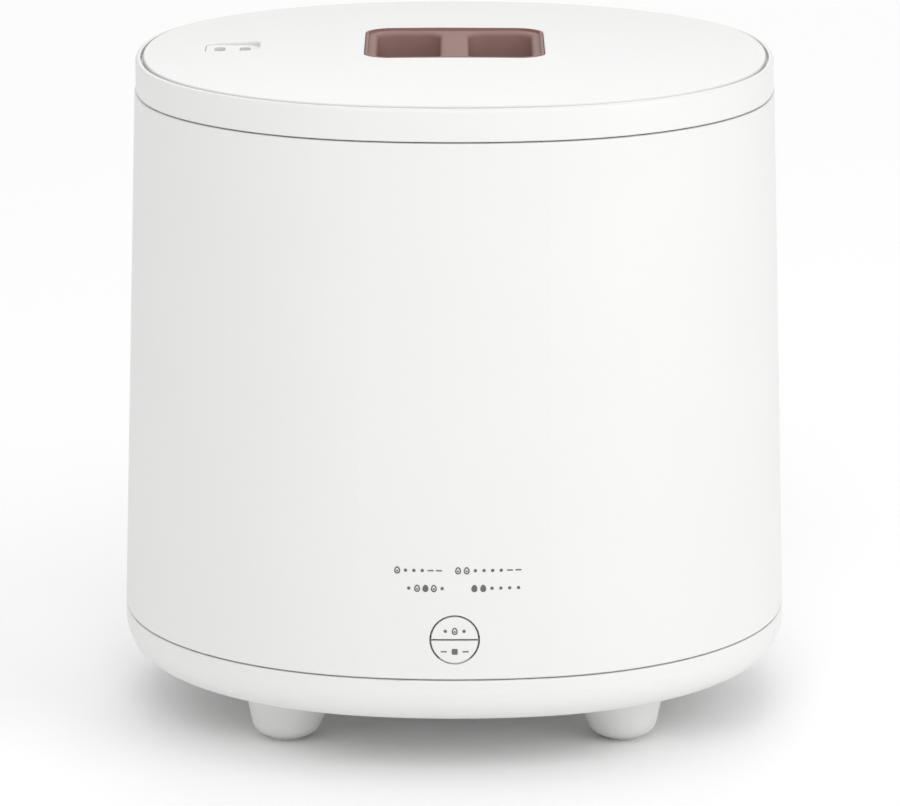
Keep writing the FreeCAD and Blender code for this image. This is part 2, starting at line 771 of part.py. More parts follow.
def inner_pot():
    body = new_body("inner_pot")
    place(body, z="pot_bottom")
    profile = new_sketch(body, "XZ_Plane")
    top = "pot_flange - pot_bottom"
    ledge = "ledge_top - pot_bottom - pot_wall"
    outline(profile, [
        ("0", "0"),
        ("pot_radius + pot_wall", "0"),
        ("pot_radius + pot_wall", ledge),
        ("mouth_radius + pot_wall", ledge),
        ("mouth_radius + pot_wall", top),
        ("flange_radius", top),
        ("flange_radius", f"{top} + pot_wall"),
        ("mouth_radius", f"{top} + pot_wall"),
        ("mouth_radius", f"{ledge} + pot_wall"),
        ("pot_radius", f"{ledge} + pot_wall"),
        ("pot_radius", "pot_wall"),
        ("0", "pot_wall")])
    turned(body, profile)
    low = value("pot_bottom")
    round_edges(body, "pot_round + pot_wall", lambda e: flat_at(e, low) and reach(e) > 60)
    low = value("pot_bottom + pot_wall")
    round_edges(body, "pot_round", lambda e: flat_at(e, low) and reach(e) > 60)
    return body


# ------------------------------------------------------------------- heater

def studs_at():
    """Three places round the plate, as expressions."""
    return [(f"stud_ring * cos({angle} deg)", f"stud_ring * sin({angle} deg)")
            for angle in (30, 150, 270)]


def heating_plate():
    body = new_body("heating_plate")
    place(body, z="plate_bottom")
    disc = new_sketch(body)
    circle(disc, "plate_radius")
    circle(disc, "sensor_radius + 2 * fit")
    for x, y in studs_at():
        circle(disc, "stud_radius + fit", x, y)
    pad(body, disc, "plate_thickness")
    channel = new_sketch(body, "XZ_Plane")
    circle(channel, "tube_radius", "tube_ring", "tube_level - plate_bottom")
    turned(body, channel, "Groove")
    return body


def heater_tube():
    """An open ring of sheathed element, with its two ends turned down."""
    start, sweep = 105, 330
    ring = primitive("Torus", "heater_ring", (Vector(0, 0, 1), start), z="tube_level",
                     Radius1="tube_ring", Radius2="tube_radius")
    ring.Angle3 = sweep
    pieces = [ring]
    for index, angle in enumerate((start, start + sweep)):
        x, y = f"tube_ring * cos({angle} deg)", f"tube_ring * sin({angle} deg)"
        elbow = primitive("Sphere", f"heater_elbow{index}", x=x, y=y, z="tube_level",
                          Radius="tube_radius")
        end = primitive("Cylinder", f"heater_end{index}", DOWN, x=x, y=y, z="tube_level",
                        Radius="tube_radius", Height="tube_end")
        pieces += [elbow, end]
    return join("heater_tube", pieces)


def heater_pins():
    pins = []
    for index, angle in enumerate((105, 75)):
        pins.append(primitive(
            "Cylinder", f"heater_pin{index}", DOWN, x=f"tube_ring * cos({angle} deg)",
            y=f"tube_ring * sin({angle} deg)", z="tube_level - tube_end", Radius="pin_radius",
            Height="pin_length"))
    return group("heater_pins", pins)


def heat_shield():
    body = new_body("heat_shield")
    place(body, z="shield_level - shield_wall")
    dish = new_sketch(body)
    circle(dish, "shield_radius")
    pad(body, dish, "shield_wall + shield_rim")
    hollow = new_sketch(body, offset="shield_wall + shield_rim")
    circle(hollow, "shield_radius - shield_wall")
    pocket(body, hollow, "shield_rim")
    holes = new_sketch(body)
    for x, y in studs_at():
        circle(holes, "stud_radius + fit / 2", x, y)
    circle(holes, "2.5")
    for angle in (105, 75):
        circle(holes, "tube_radius + 1.4", f"tube_ring * cos({angle} deg)",
               f"tube_ring * sin({angle} deg)")
    pocket(body, holes, "shield_wall + 1", reverse=True)
    return body


def stud_group(label, radius, bottom, height, bore=None):
    """Three round pieces on the studs' places, bored when bore is given."""
    pieces = []
    for index, (x, y) in enumerate(studs_at()):
        rod = primitive("Cylinder", f"{label}_rod{index}", x=x, y=y, z=bottom,
                        Radius=radius, Height=height)
        if bore:
            hole = primitive("Cylinder", f"{label}_bore{index}", x=x, y=y, z=bottom,
                             Radius=bore, Height=height)
            rod = cut(f"{label}{index}", rod, hole)
        pieces.append(rod)
    return group(label, pieces)


def plate_nuts():
    nuts = []
    for index, (x, y) in enumerate(studs_at()):
        prism = primitive("Prism", f"nut_prism{index}", x=x, y=y,
                          z="shield_level - shield_wall - nut_thickness",
                          Circumradius="nut_across / 2 / cos(30 deg)", Height="nut_thickness")
        hole = primitive("Cylinder", f"nut_hole{index}", x=x, y=y,
                         z="shield_level - shield_wall - nut_thickness",
                         Radius="stud_radius + 0.05", Height="nut_thickness")
        nuts.append(cut(f"plate_nut{index}", prism, hole))
    return group("plate_nuts", nuts)


def sensor_parts():
    """The sprung thermistor under the middle of the pot, and its spring."""
    cap = primitive("Cylinder", "sensor_cap", z="plate_bottom - 2", Radius="sensor_radius",
                    Height="plate_thickness + 2")
    foot = primitive("Cylinder", "sensor_foot", z="plate_bottom - 3",
                     Radius="sensor_radius + 1.5", Height="1")
    thermistor = join("thermistor", [cap, foot])
    helix = primitive("Helix", "spring_line", z="shield_level + 0.5", Radius="sensor_radius",
                      Pitch="(spacer_length - 3 - 1) / 2", Height="spacer_length - 3 - 1")
    wire = primitive("Circle", "spring_wire", TO_FRONT, x="sensor_radius",
                     z="shield_level + 0.5", Radius="0.4")
    spring = doc.addObject("Part::Sweep", "sensor_spring")
    spring.Sections = [wire]
    spring.Spine = (helix, ["Edge1"])
    spring.Solid = True
    spring.Frenet = True
    return [thermistor, spring]


def fuse_parts():
    """The thermal cut-off along the plate's underside, its clip and screw."""
    fuse = primitive("Cylinder", "fuse_core", CROSSWISE, x="-6", y="-fuse_row",
                     z="plate_bottom - fuse_radius - 0.1", Radius="fuse_radius", Height="12")
    leads = primitive("Cylinder", "fuse_leads", CROSSWISE, x="-12", y="-fuse_row",
                      z="plate_bottom - fuse_radius - 0.1", Radius="0.5", Height="24")
    thermal_fuse = join("thermal_fuse", [fuse, leads])
    clip = new_body("fuse_clip")
    place(clip, x="-clip_width / 2", y="-fuse_row", z="plate_bottom")
    strap = new_sketch(clip, "YZ_Plane")
    inner, low = "(fuse_radius + 0.8)", "(2 * fuse_radius + 0.2)"
    outer, drop = f"({inner} + clip_wall)", f"({low} + clip_wall)"
    outline(strap, [
        ("-clip_tongue", "0"), ("-clip_tongue", "-clip_wall"), (f"-{outer}", "-clip_wall"),
        (f"-{outer}", f"-{drop}"), (outer, f"-{drop}"), (outer, "0"), (inner, "0"),
        (inner, f"-{low}"), (f"-{inner}", f"-{low}"), (f"-{inner}", "0")])
    pad(clip, strap, "clip_width")
    hole = new_sketch(clip, offset="-1")
    circle(hole, "screw_radius + screw_play", "clip_width / 2", "4 - clip_tongue")
    pocket(clip, hole, "2", reverse=True)
    return [thermal_fuse, clip]


# ------------------------------------------------------------------- boards

def power_board():
    body = new_body("power_board")
    place(body, x="power_x", y="power_y", z="power_level")
    sheet_outline = new_sketch(body)
    rounded(sheet_outline, "power_length", "power_width", "2")
    for sx in (1, -1):
        for sy in (1, -1):
            circle(sheet_outline, "screw_radius * 0.8 + fit",
                   f"{sx} * (power_length / 2 - power_screw_inset)",
                   f"{sy} * (power_width / 2 - power_screw_inset)")
    pad(body, sheet_outline, "board_thickness")
    return body


def block(label, x, y, length, width, height, edge=0.6):
    """A moulded component that stands on the power board."""
    core = primitive("Box", label + "_core", x=f"power_x + {x} - {length} / 2",
                     y=f"power_y + {y} - {width} / 2", z="power_level + board_thickness",
                     Length=length, Width=width, Height=height)
    doc.recompute()
    item = doc.addObject("Part::Fillet", label)
    item.Base = core
    item.Edges = [(n + 1, edge, edge) for n, e in enumerate(core.Shape.Edges)
                  if abs(e.tangentAt(e.FirstParameter).z) > 0.9]
    return item


def port_x(number):
    """The middle of one of the terminal block's four ports."""
    return f"power_x - 2 + {number - 1.5} * port_pitch"


def board_components():
    relay = block("relay", -22, -12, 19, 15.5, 13)
    transformer = block("mains_transformer", 14, -2, 20, 22, 14)
    capacitor = block("filter_capacitor", -22, 8, 18, 8, 11, 1.2)
    connector = block("board_connector", 8, -20, 12, 6, 7)
    body = block("terminal_body", -2, "port_row", "4 * port_pitch", "terminal_width", 9)
    ports = [primitive("Box", f"terminal_port{n}", x=f"({port_x(n)}) - 1.8",
                       y="power_y + port_row + terminal_width / 2 - 5",
                       z="power_level + board_thickness + 3",
                       Length="3.6", Width="6", Height="4") for n in range(4)]
    return [relay, transformer, capacitor, connector, cut("terminal_block", body, *ports)]


def power_board_screws():
    return group("power_board_screws", [
        screw(f"board_screw{i}", x, y, "power_level + board_thickness", DOWN,
              "power_rise - 1", "0.8")
        for i, (x, y) in enumerate(power_screws())])


def control_board():
    body = new_body("control_board")
    face = new_sketch(body, "XZ_Plane", "control_setback - board_thickness")
    rounded(face, "control_width", "control_height", "1.5", "0", "control_centre")
    for side in (1, -1):
        circle(face, "screw_radius * 0.8 + fit", f"{side} * control_screw_x", "control_centre")
    pad(body, face, "board_thickness")
    return body


def control_board_screws():
    seat = "-(control_setback - board_thickness)"
    return group("control_board_screws", [
        screw(f"control_screw{i}", f"{side} * control_screw_x", seat, "control_centre",
              TO_FRONT, "5.5", "0.8") for i, side in enumerate((1, -1))])


def key_z(side):
    """The middle of a half key; side is 1 for the upper and -1 for the lower."""
    return f"key_height + ({side}) * key_spread"


def tact_switches():
    cases = []
    for index, side in enumerate((1, -1)):
        z = key_z(side)
        case = box_between(f"switch_case{index}",
                           ("-switch_half", "-(control_setback + switch_depth)",
                            f"{z} - switch_half"),
                           ("switch_half", "-control_setback", f"{z} + switch_half"))
        bore = primitive("Cylinder", f"switch_bore{index}", TO_FRONT,
                         y="-(control_setback + stem_seat - key_travel - fit)", z=z,
                         Radius="stem_radius + fit", Height="switch_depth")
        cases.append(cut(f"switch{index}", case, bore))
    return group("tact_switches", cases)


def plunger(label, side):
    """The switch's stem, which moves with its key."""
    tip = "front_face - wall - 2 * fit - key_collar_thickness - 1"
    return primitive("Cylinder", label, TO_FRONT, y="-(control_setback + stem_seat)",
                     z=key_z(side), Radius="stem_radius",
                     Height=f"{tip} - control_setback - stem_seat")


def casing_form():
    """The casing's outer form, which the key faces are cut to."""
    ends = []
    for level, half in (("body_bottom", "base_half"), ("body_top", "top_half")):
        ring = doc.addObject("Sketcher::SketchObject", "form_ring")
        place(ring, z=level)
        soft_square(ring, half)
        ends.append(ring)
    form = doc.addObject("Part::Loft", "casing_form")
    form.Sections = ends
    form.Solid = True
    form.Ruled = True
    return form


def key(label, side, form):
    """Half of the round key: a face flush with the casing, a collar and a stem."""
    bar = primitive("Cylinder", label + "_bar", TO_FRONT, y="-(front_face - wall - 1)",
                    z="key_height", Radius="key_radius", Height="wall + 4")
    face = doc.addObject("Part::Common", label + "_face")
    face.Base, face.Tool = bar, form
    collar_front = "front_face - wall - 2 * fit"
    collar = primitive("Cylinder", label + "_collar", TO_FRONT,
                       y=f"-({collar_front} - key_collar_thickness)", z="key_height",
                       Radius="key_hole + key_collar", Height="key_collar_thickness")
    neck = primitive("Cylinder", label + "_neck", TO_FRONT,
                     y=f"-({collar_front} - key_collar_thickness)", z="key_height",
                     Radius="key_radius", Height="key_collar_thickness + 2")
    stem = primitive("Cylinder", label + "_stem", TO_FRONT,
                     y=f"-({collar_front} - key_collar_thickness - 1)", z=key_z(side),
                     Radius="stem_radius", Height="1.2")
    whole = join(label + "_whole", [face, collar, neck, stem])
    edge = f"key_height + ({side}) * key_gap / 2"
    low, high = ("key_height - 20", edge) if side > 0 else (edge, "key_height + 20")
    other = box_between(label + "_other", ("-20", "-(base_half + 5)", low),
                        ("20", "-60", high))
    return cut(label, whole, other)


def key_guide():
    """A short square tube behind the casing wall that keeps the keys in line."""
    reach_out = "front_face - wall - 3 * fit - key_collar_thickness"
    half = "(key_hole + key_collar)"
    block_part = box_between("guide_block",
                             (f"-({half} + guide_side)", f"-({reach_out} + 1.2)",
                              f"key_height - {half} - guide_wall"),
                             (f"{half} + guide_side", "-control_setback",
                              f"key_height + {half} + guide_wall"))
    bore = primitive("Cylinder", "guide_bore", TO_FRONT, y="-(control_setback - 1)",
                     z="key_height", Radius=f"{half} + fit", Height="control_depth + 3")
    return cut("key_guide", block_part, bore)


LABELS = [(x, z) for x in ("label_left", "label_right") for z in ("label_low", "label_high")]


def mode_leds():
    lamps = []
    for index, (x, z) in enumerate(LABELS):
        lamps.append(primitive("Box", f"led{index}", x=f"{x} - led_length / 2",
                               y="-(control_setback + led_thickness)",
                               z=f"{z} - led_height / 2", Length="led_length",
                               Width="led_thickness", Height="led_height"))
    return group("mode_leds", lamps)


def light_shield():
    """A black block with a light channel from each lamp to the casing wall."""
    body = new_body("light_shield")
    face = new_sketch(body, "XZ_Plane", "control_setback + fit / 3")
    rounded(face, "label_right - label_left + label_length + 2 * fit + 4.35",
            "label_pitch + label_height + 2.2", "1", "0", "(label_low + label_high) / 2")
    for x, z in LABELS:
        rounded(face, "label_length", "label_height", "0.6", x, z)
    pad(body, face, "base_half - wall - 3 - control_setback")
    return body


# -------------------------------------------------------------------- inlet

def inlet_parts():
    """A recessed three-pin appliance inlet at the rear."""
    face = "base_half - inlet_setback"
    body = new_body("inlet_socket")
    place(body, z="inlet_height")
    flange = new_sketch(body, "XZ_Plane", f"-({face})")
    rounded(flange, "inlet_width + 2 * inlet_wall + 2 * inlet_flange",
            "inlet_tall + 2 * inlet_wall + 2", "inlet_corner")
    pad(body, flange, "inlet_plate")
    tub = new_sketch(body, "XZ_Plane", f"-({face})")
    rounded(tub, "inlet_width + 2 * inlet_wall", "inlet_tall + 2 * inlet_wall", "inlet_corner")
    pad(body, tub, "inlet_depth + inlet_wall")
    cavity = new_sketch(body, "XZ_Plane", f"-({face})")
    half, tall, chamfer = "inlet_width / 2", "inlet_tall / 2", "inlet_chamfer"
    outline(cavity, [
        (f"-{half}", f"-{tall}"), (half, f"-{tall}"), (half, f"{tall} - {chamfer}"),
        (f"{half} - {chamfer}", tall), (f"-{half} + {chamfer}", tall),
        (f"-{half}", f"{tall} - {chamfer}")])
    pocket(body, cavity, "inlet_depth", reverse=True)
    pins = []
    back = f"{face} - inlet_depth"
    slots = new_sketch(body, "XZ_Plane", f"-({back} + 1)")
    places = (("-pin_pitch", "-blade_offset"), ("0", "blade_offset"),
              ("pin_pitch", "-blade_offset"))
    for index, (x, z) in enumerate(places):
        left, right = f"{x} - blade_half_width", f"{x} + blade_half_width"
        low, high = f"{z} - blade_half_tall", f"{z} + blade_half_tall"
        pins.append(box_between(
            f"inlet_blade{index}",
            (left, back + " - inlet_wall - blade_tail", "inlet_height + " + low),
            (right, back + " + blade_reach", "inlet_height + " + high)))
        outline(slots, [(left, low), (right, low), (right, high), (left, high)])
    pocket(body, slots, "inlet_wall + 4", reverse=True)
    return [body, group("inlet_pins", pins)]


# -------------------------------------------------------------------- wires

def lead(label, radius, points):
    """A wire along straight runs that are joined by tangent arcs."""
    corners = [Vector(*[value(c) for c in point]) for point in points]
    edges, start = [], corners[0]
    for before, corner, after in zip(corners, corners[1:], corners[2:]):
        into, out = corner - before, after - corner
        turn = into.getAngle(out)
        bend = 0.45 * min(into.Length, out.Length) / math.tan(turn / 2)
        print(f"{label}: bend radius {bend:.1f}")
        step = bend * math.tan(turn / 2)
        into.normalize()
        out.normalize()
        first, last = corner - into * step, corner + out * step
        inward = (out - into).normalize()
        middle = corner + inward * bend * (1 / math.cos(turn / 2) - 1)
        edges.append(Part.LineSegment(start, first).toShape())
        edges.append(Part.Arc(first, middle, last).toShape())
        start = last
    edges.append(Part.LineSegment(start, corners[-1]).toShape())
    path = Part.Wire(edges)
    section = Part.Wire(Part.Circle(corners[0], corners[1] - corners[0], radius).toShape())
    solid = path.makePipeShell([section], True, False)
    expected = math.pi * radius ** 2 * path.Length
    if abs(solid.Volume - expected) > 0.02 * expected:
        raise RuntimeError(label + ": the wire's volume is wrong")
    item = doc.addObject("Part::Feature", label)
    item.Shape = solid
    item.Placement = Placement()
    return item


def wires():
    back = "base_half - inlet_setback - inlet_depth - inlet_wall - blade_tail"
    port = "power_y + port_row + terminal_width / 2"
    row = "power_level + board_thickness + 5"
    blade = "inlet_height - blade_offset"
    pin_x, pin_y = value("tube_ring * cos(75 deg)"), value("tube_ring * sin(75 deg)")
    heel = value("tube_level - tube_end - pin_length")
    ports = [value(port_x(n)) for n in range(4)]
    plug_x, plug_y = "power_x + 8", "power_y - 20"
    routes = {
        "live_wire": [("-pin_pitch", back, blade), ("-pin_pitch", f"{back} - 8", blade),
                      (-3.5, f"{back} - 22", f"{row} + 5"),
                      (ports[1], f"{port} + 12", row), (ports[1], port, row)],
        "neutral_wire": [("pin_pitch", back, blade), ("pin_pitch", f"{back} - 8", blade),
                         (3.5, f"{back} - 22", f"{row} + 5"),
                         (ports[2], f"{port} + 12", row), (ports[2], port, row)],
        "heater_wire_left": [(-pin_x, pin_y, heel), (-pin_x, pin_y, heel - 5),
                             (-pin_x - 6, pin_y - 8, heel - 7),
                             (ports[0], f"{port} + 9", row), (ports[0], port, row)],
        "heater_wire_right": [(pin_x, pin_y, heel), (pin_x, pin_y, heel - 5),
                              (pin_x - 2, pin_y - 8, heel - 7),
                              (ports[3], f"{port} + 9", row), (ports[3], port, row)],
        "signal_cable": [(plug_x, plug_y, "power_level + board_thickness + 7"),
                         (plug_x, plug_y, "power_level + board_thickness + 13"),
                         (plug_x, f"{plug_y} - 20", "control_centre - 5"),
                         (plug_x, "-(control_setback - 11)", "control_centre"),
                         (plug_x, "-(control_setback - board_thickness)", "control_centre")],
    }
    return [lead(label, 1.3, points) for label, points in routes.items()]


# ---------------------------------------------------------------------- lid

def dome(sketch, low, drop, half):
    """The profile between a level and the lid's crowned top, lowered by drop."""
    top = f"lid_top - lid_bottom - {drop}"
    edge = f"{top} - dome_radius + sqrt(dome_radius ^ 2 - ({half}) ^ 2)"
    outline(sketch, [("0", low), (half, low), (half, edge), ("0", top)], {2: "dome_radius"})


def crown_cut(body):
    """Take away what stands above the lid's crowned top."""
    above = new_sketch(body, "XZ_Plane")
    half, top = "panel_half * sqrt(2)", "lid_top - lid_bottom"
    edge = f"{top} - dome_radius + sqrt(dome_radius ^ 2 - ({half}) ^ 2)"
    outline(above, [("0", top), ("0", f"{top} + 10"), (half, f"{top} + 10"), (half, edge)],
            {3: "dome_radius"})
    turned(body, above, "Groove")


def lid_rim():
    body = new_body("lid_rim")
    place(body, z="lid_bottom")
    low = new_sketch(body)
    soft_square(low, "lid_half")
    pad(body, low, "lid_wall_height")
    for level, size in (("lid_bottom", "edge_round"),
                        ("lid_bottom + lid_wall_height", "lid_round")):
        height = value(level)
        round_edges(body, size, lambda e: flat_at(e, height))
    seat = new_sketch(body, offset="lid_wall_height")
    soft_square(seat, "land_half")
    pocket(body, seat, "groove_depth")
    opening = new_sketch(body, offset="lid_wall_height")
    soft_square(opening, "lid_shelf_half")
    pocket(body, opening, "lid_wall_height + 1")
    inside = new_sketch(body)
    soft_square(inside, "lid_half - lid_wall")
    pocket(body, inside, "lid_wall_height - groove_depth - lid_shelf", reverse=True)
    bosses = new_sketch(body, offset="fit + plug_flange")
    for x, y in four("lid_screw_spread", "lid_screw_spread"):
        circle(bosses, "3.2", x, y)
    pad(body, bosses, "lid_wall_height - groove_depth - plug_flange - fit")
    pilots = new_sketch(body, offset="fit + plug_flange")
    for x, y in four("lid_screw_spread", "lid_screw_spread"):
        circle(pilots, "screw_radius * 0.8 + screw_play / 2", x, y)
    pocket(body, pilots, "3.4", reverse=True)
    return body


def lid_top_panel():
    body = new_body("lid_top_panel")
    place(body, z="lid_bottom")
    plate = new_sketch(body, offset="panel_bottom - lid_bottom")
    soft_square(plate, "panel_half")
    pad(body, plate, "lid_top - panel_bottom + 1")
    crown_cut(body)
    hollow = new_sketch(body, "XZ_Plane")
    dome(hollow, "panel_bottom - lid_bottom - 1", "panel_thickness", "panel_half - panel_rim")
    turned(body, hollow, "Groove")
    openings = new_sketch(body, offset="lid_top - lid_bottom + 1")
    rounded(openings, "grip_size + 2 * grip_gap", "grip_size + 2 * grip_gap",
            "grip_corner + grip_gap")
    rounded(openings, "vent_size + 2 * grip_gap", "vent_size + 2 * grip_gap",
            "vent_corner + grip_gap", "vent_x", "0")
    pocket(body, openings, "20")
    skin = value("panel_edge") - value("edge_round")
    round_edges(body, "edge_round", lambda e: e.BoundBox.ZMin > skin)
    return body


def grip_insert():
    body = new_body("grip_insert")
    place(body, z="lid_bottom")
    bottom = "lid_top - lid_bottom - pocket_depth - grip_skin"
    block_sketch = new_sketch(body, offset=bottom)
    rounded(block_sketch, "grip_size", "grip_size", "grip_corner")
    pad(body, block_sketch, "pocket_depth + grip_skin + 1")
    crown_cut(body)
    tray = new_sketch(body, offset="lid_top - lid_bottom + 1")
    rounded(tray, "grip_size - 2 * grip_rim", "grip_size - 2 * grip_rim",
            "grip_corner - grip_rim")
    pocket(body, tray, "1 + grip_sink")
    pockets = new_sketch(body, offset="lid_top - lid_bottom + 1")
    for side in (1, -1):
        rounded(pockets, "pocket_width", "pocket_length", "pocket_corner",
                f"{side} * (pocket_width + bridge_width) / 2", "0")
    pocket(body, pockets, "pocket_depth + 1")
    floor = value("lid_top - pocket_depth")
    round_edges(body, "pocket_corner - 0.6", lambda e: flat_at(e, floor))
    under = new_sketch(body, offset=bottom)
    rounded(under, "bridge_width - 2 * grip_skin", "pocket_length - 6", "1")
    pocket(body, under, "pocket_depth + grip_skin - 3", reverse=True)
    return body


def steam_vent():
    body = new_body("steam_vent")
    place(body, x="vent_x", z="vent_top - vent_thickness")
    plate = new_sketch(body)
    rounded(plate, "vent_size", "vent_size", "vent_corner")
    pad(body, plate, "vent_thickness")
    chimney = new_sketch(body)
    rounded(chimney, "vent_size - 2", "vent_slot_length + 2.4", "1.5")
    pad(body, chimney, "vent_top - vent_thickness - plug_bottom - plug_wall", reverse=True)
    slots = new_sketch(body, offset="vent_thickness")
    for side in (1, -1):
        rounded(slots, "vent_slot_width", "vent_slot_length", "vent_slot_width / 2 - 0.05",
                f"{side} * vent_slot_pitch", "0")
    pocket(body, slots, "vent_top - plug_bottom")
    return body


def lid_inner_plate():
    body = new_body("lid_inner_plate")
    place(body, z="lid_bottom")
    flange = new_sketch(body, offset="fit")
    soft_square(flange, "lid_half - lid_wall - fit")
    pad(body, flange, "plug_flange")
    plug = new_sketch(body, offset="-plug_depth")
    circle(plug, "plug_radius")
    pad(body, plug, "plug_depth + fit + plug_flange / 2")
    hollow = new_sketch(body, offset="fit + plug_flange")
    circle(hollow, "plug_radius - plug_wall")
    pocket(body, hollow, "plug_flange + fit + plug_depth - plug_wall")
    holes = new_sketch(body, offset="fit")
    for x, y in four("lid_screw_spread", "lid_screw_spread"):
        circle(holes, "screw_radius * 0.8 + fit", x, y)
    pocket(body, holes, "plug_flange + 1", reverse=True)
    sinks = new_sketch(body, offset="fit")
    for x, y in four("lid_screw_spread", "lid_screw_spread"):
        circle(sinks, "screw_head_radius * 0.8 + fit", x, y)
    pocket(body, sinks, "screw_head_height * 0.7", reverse=True)
    slots = new_sketch(body, offset="-plug_depth")
    for side in (1, -1):
        rounded(slots, "vent_slot_width", "vent_slot_length", "vent_slot_width / 2 - 0.05",
                f"vent_x + {side} * vent_slot_pitch", "0")
    pocket(body, slots, "plug_wall + 0.5", reverse=True)
    return body


def lid_seal():
    body = new_body("lid_seal")
    place(body, z="plug_bottom + plug_wall")
    profile = new_sketch(body, "XZ_Plane")
    outline(profile, [
        ("plug_radius", "0"), ("plug_radius + 0.9", "0"), ("plug_radius + seal_reach", "0.9"),
        ("plug_radius + seal_reach", "1.3"), ("plug_radius + 1.1", "1.3"),
        ("plug_radius + 1.1", "seal_height"), ("plug_radius", "seal_height")])
    turned(body, profile)
    return body


def lid_screws():
    seat = "plug_flange_bottom + screw_head_height * 0.7"
    screws = []
    for index, (x, y) in enumerate(four("lid_screw_spread", "lid_screw_spread")):
        head = primitive("Cylinder", f"lid_head{index}", x=x, y=y, z="plug_flange_bottom + 0.1",
                         Radius="screw_head_radius * 0.8", Height="screw_head_height * 0.7 - 0.1")
        shank = primitive("Cylinder", f"lid_shank{index}", x=x, y=y, z=seat,
                          Radius="screw_radius * 0.8", Height="4")
        screws.append(join(f"lid_screw{index}", [head, shank]))
    return group("lid_screws", screws)


# ------------------------------------------------------------ loose fittings

def egg_rack():
    body = new_body("egg_rack")
    place(body, z="rack_level")
    disc = new_sketch(body)
    circle(disc, "rack_radius")
    for index in range(6):
        turn = 60 * index
        circle(disc, "egg_hole_radius", f"egg_ring * cos({turn} deg)",
               f"egg_ring * sin({turn} deg)")
        circle(disc, "steam_hole_radius", f"steam_ring * cos({turn + 30} deg)",
               f"steam_ring * sin({turn + 30} deg)")
        for lean in (turn - 70, turn + 70):
            circle(disc, "steam_hole_radius",
                   f"egg_ring * cos({turn} deg) + steam_reach * cos({lean} deg)",
                   f"egg_ring * sin({turn} deg) + steam_reach * sin({lean} deg)")
    pad(body, disc, "rack_thickness")
    top = value("rack_level + rack_thickness")
    wide = value("egg_hole_radius") * 2 * math.pi * 0.9
    outer = value("rack_radius") * 5
    round_edges(body, "egg_chamfer", lambda e: flat_at(e, top) and wide < e.Length < outer,
                "Chamfer")
    legs = new_sketch(body, offset="rack_thickness / 2")
    for index in range(3):
        angle = 30 + 120 * index
        circle(legs, "rack_leg_radius", f"rack_leg_ring * cos({angle} deg)",
               f"rack_leg_ring * sin({angle} deg)")
    pad(body, legs, "rack_rise - fit + rack_thickness / 2", reverse=True)
    post = new_sketch(body, offset="rack_thickness / 2")
    circle(post, "post_radius")
    pad(body, post, "post_height + rack_thickness / 2")
    tab = new_sketch(body, "XZ_Plane", "-tab_thickness / 2")
    rounded(tab, "tab_width", "tab_height", "5", "0",
            "rack_thickness + post_height + tab_height / 2 - 2")
    pad(body, tab, "tab_thickness")
    return body


def steaming_bowl():
    body = new_body("steaming_bowl")
    place(body, z="ledge_top + fit - bowl_depth")
    profile = new_sketch(body, "XZ_Plane")
    outline(profile, [
        ("0", "0"), ("bowl_floor_radius", "0"), ("bowl_wall_radius + bowl_wall", "bowl_depth"),
        ("bowl_rim", "bowl_depth"), ("bowl_rim", "bowl_depth + bowl_wall"),
        ("bowl_wall_radius", "bowl_depth + bowl_wall"),
        ("bowl_floor_radius - bowl_wall / 2", "bowl_wall"), ("0", "bowl_wall")])
    turned(body, profile)
    low = value("ledge_top + fit - bowl_depth")
    round_edges(body, "bowl_round", lambda e: flat_at(e, low) and reach(e) > 20)
    low = value("ledge_top + fit - bowl_depth + bowl_wall")
    round_edges(body, "bowl_round - bowl_wall", lambda e: flat_at(e, low) and reach(e) > 20)
    return body


# --------------------------------------------------------------------- build

def build():
    fill_sheet()
    form = casing_form()
    parts = [base_shell(), foot_pads(), base_screws(), body_shell(), body_deck(), pot_gasket(),
             inner_pot(), heating_plate(), heater_tube(), heater_pins(), heat_shield(),
             stud_group("plate_studs", "stud_radius", "shield_level - shield_wall - stud_end",
                        "pot_bottom - shield_level + shield_wall + stud_end"),
             stud_group("shield_spacers", "spacer_radius", "shield_level", "spacer_length",
                        "stud_radius + fit"),
             plate_nuts(), power_board(), power_board_screws(), control_board(),
             control_board_screws(), tact_switches(), mode_leds(), light_shield(), key_guide(),
             key("mode_key", 1, form), key("cancel_key", -1, form),
             plunger("mode_plunger", 1), plunger("cancel_plunger", -1),
             lid_rim(), lid_top_panel(), grip_insert(), steam_vent(), lid_inner_plate(),
             lid_seal(), lid_screws(), egg_rack(), steaming_bowl()]
    parts += sensor_parts() + fuse_parts() + board_components() + inlet_parts() + wires()
    doc.recompute()
    return parts


def check(parts):
    """Stop on any failed object or broken shape."""
    faults = [item.Label for item in doc.Objects
              if {"Invalid", "Error"} & set(item.State)]
    faults += [part.Label for part in parts
               if part.Shape.isNull() or not part.Shape.isValid() or not part.Shape.Solids]
    if faults:
        raise RuntimeError("failed: " + ", ".join(faults))


def export(parts):
    os.makedirs("parts", exist_ok=True)
    for part in parts:
        part.Shape.exportStep(f"parts/{part.Label}.step")
    print(len(parts), "nodes")


finished = build()
check(finished)
export(finished)
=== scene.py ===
import json
import logging
import math
from collections.abc import Callable
from dataclasses import dataclass
from enum import Enum

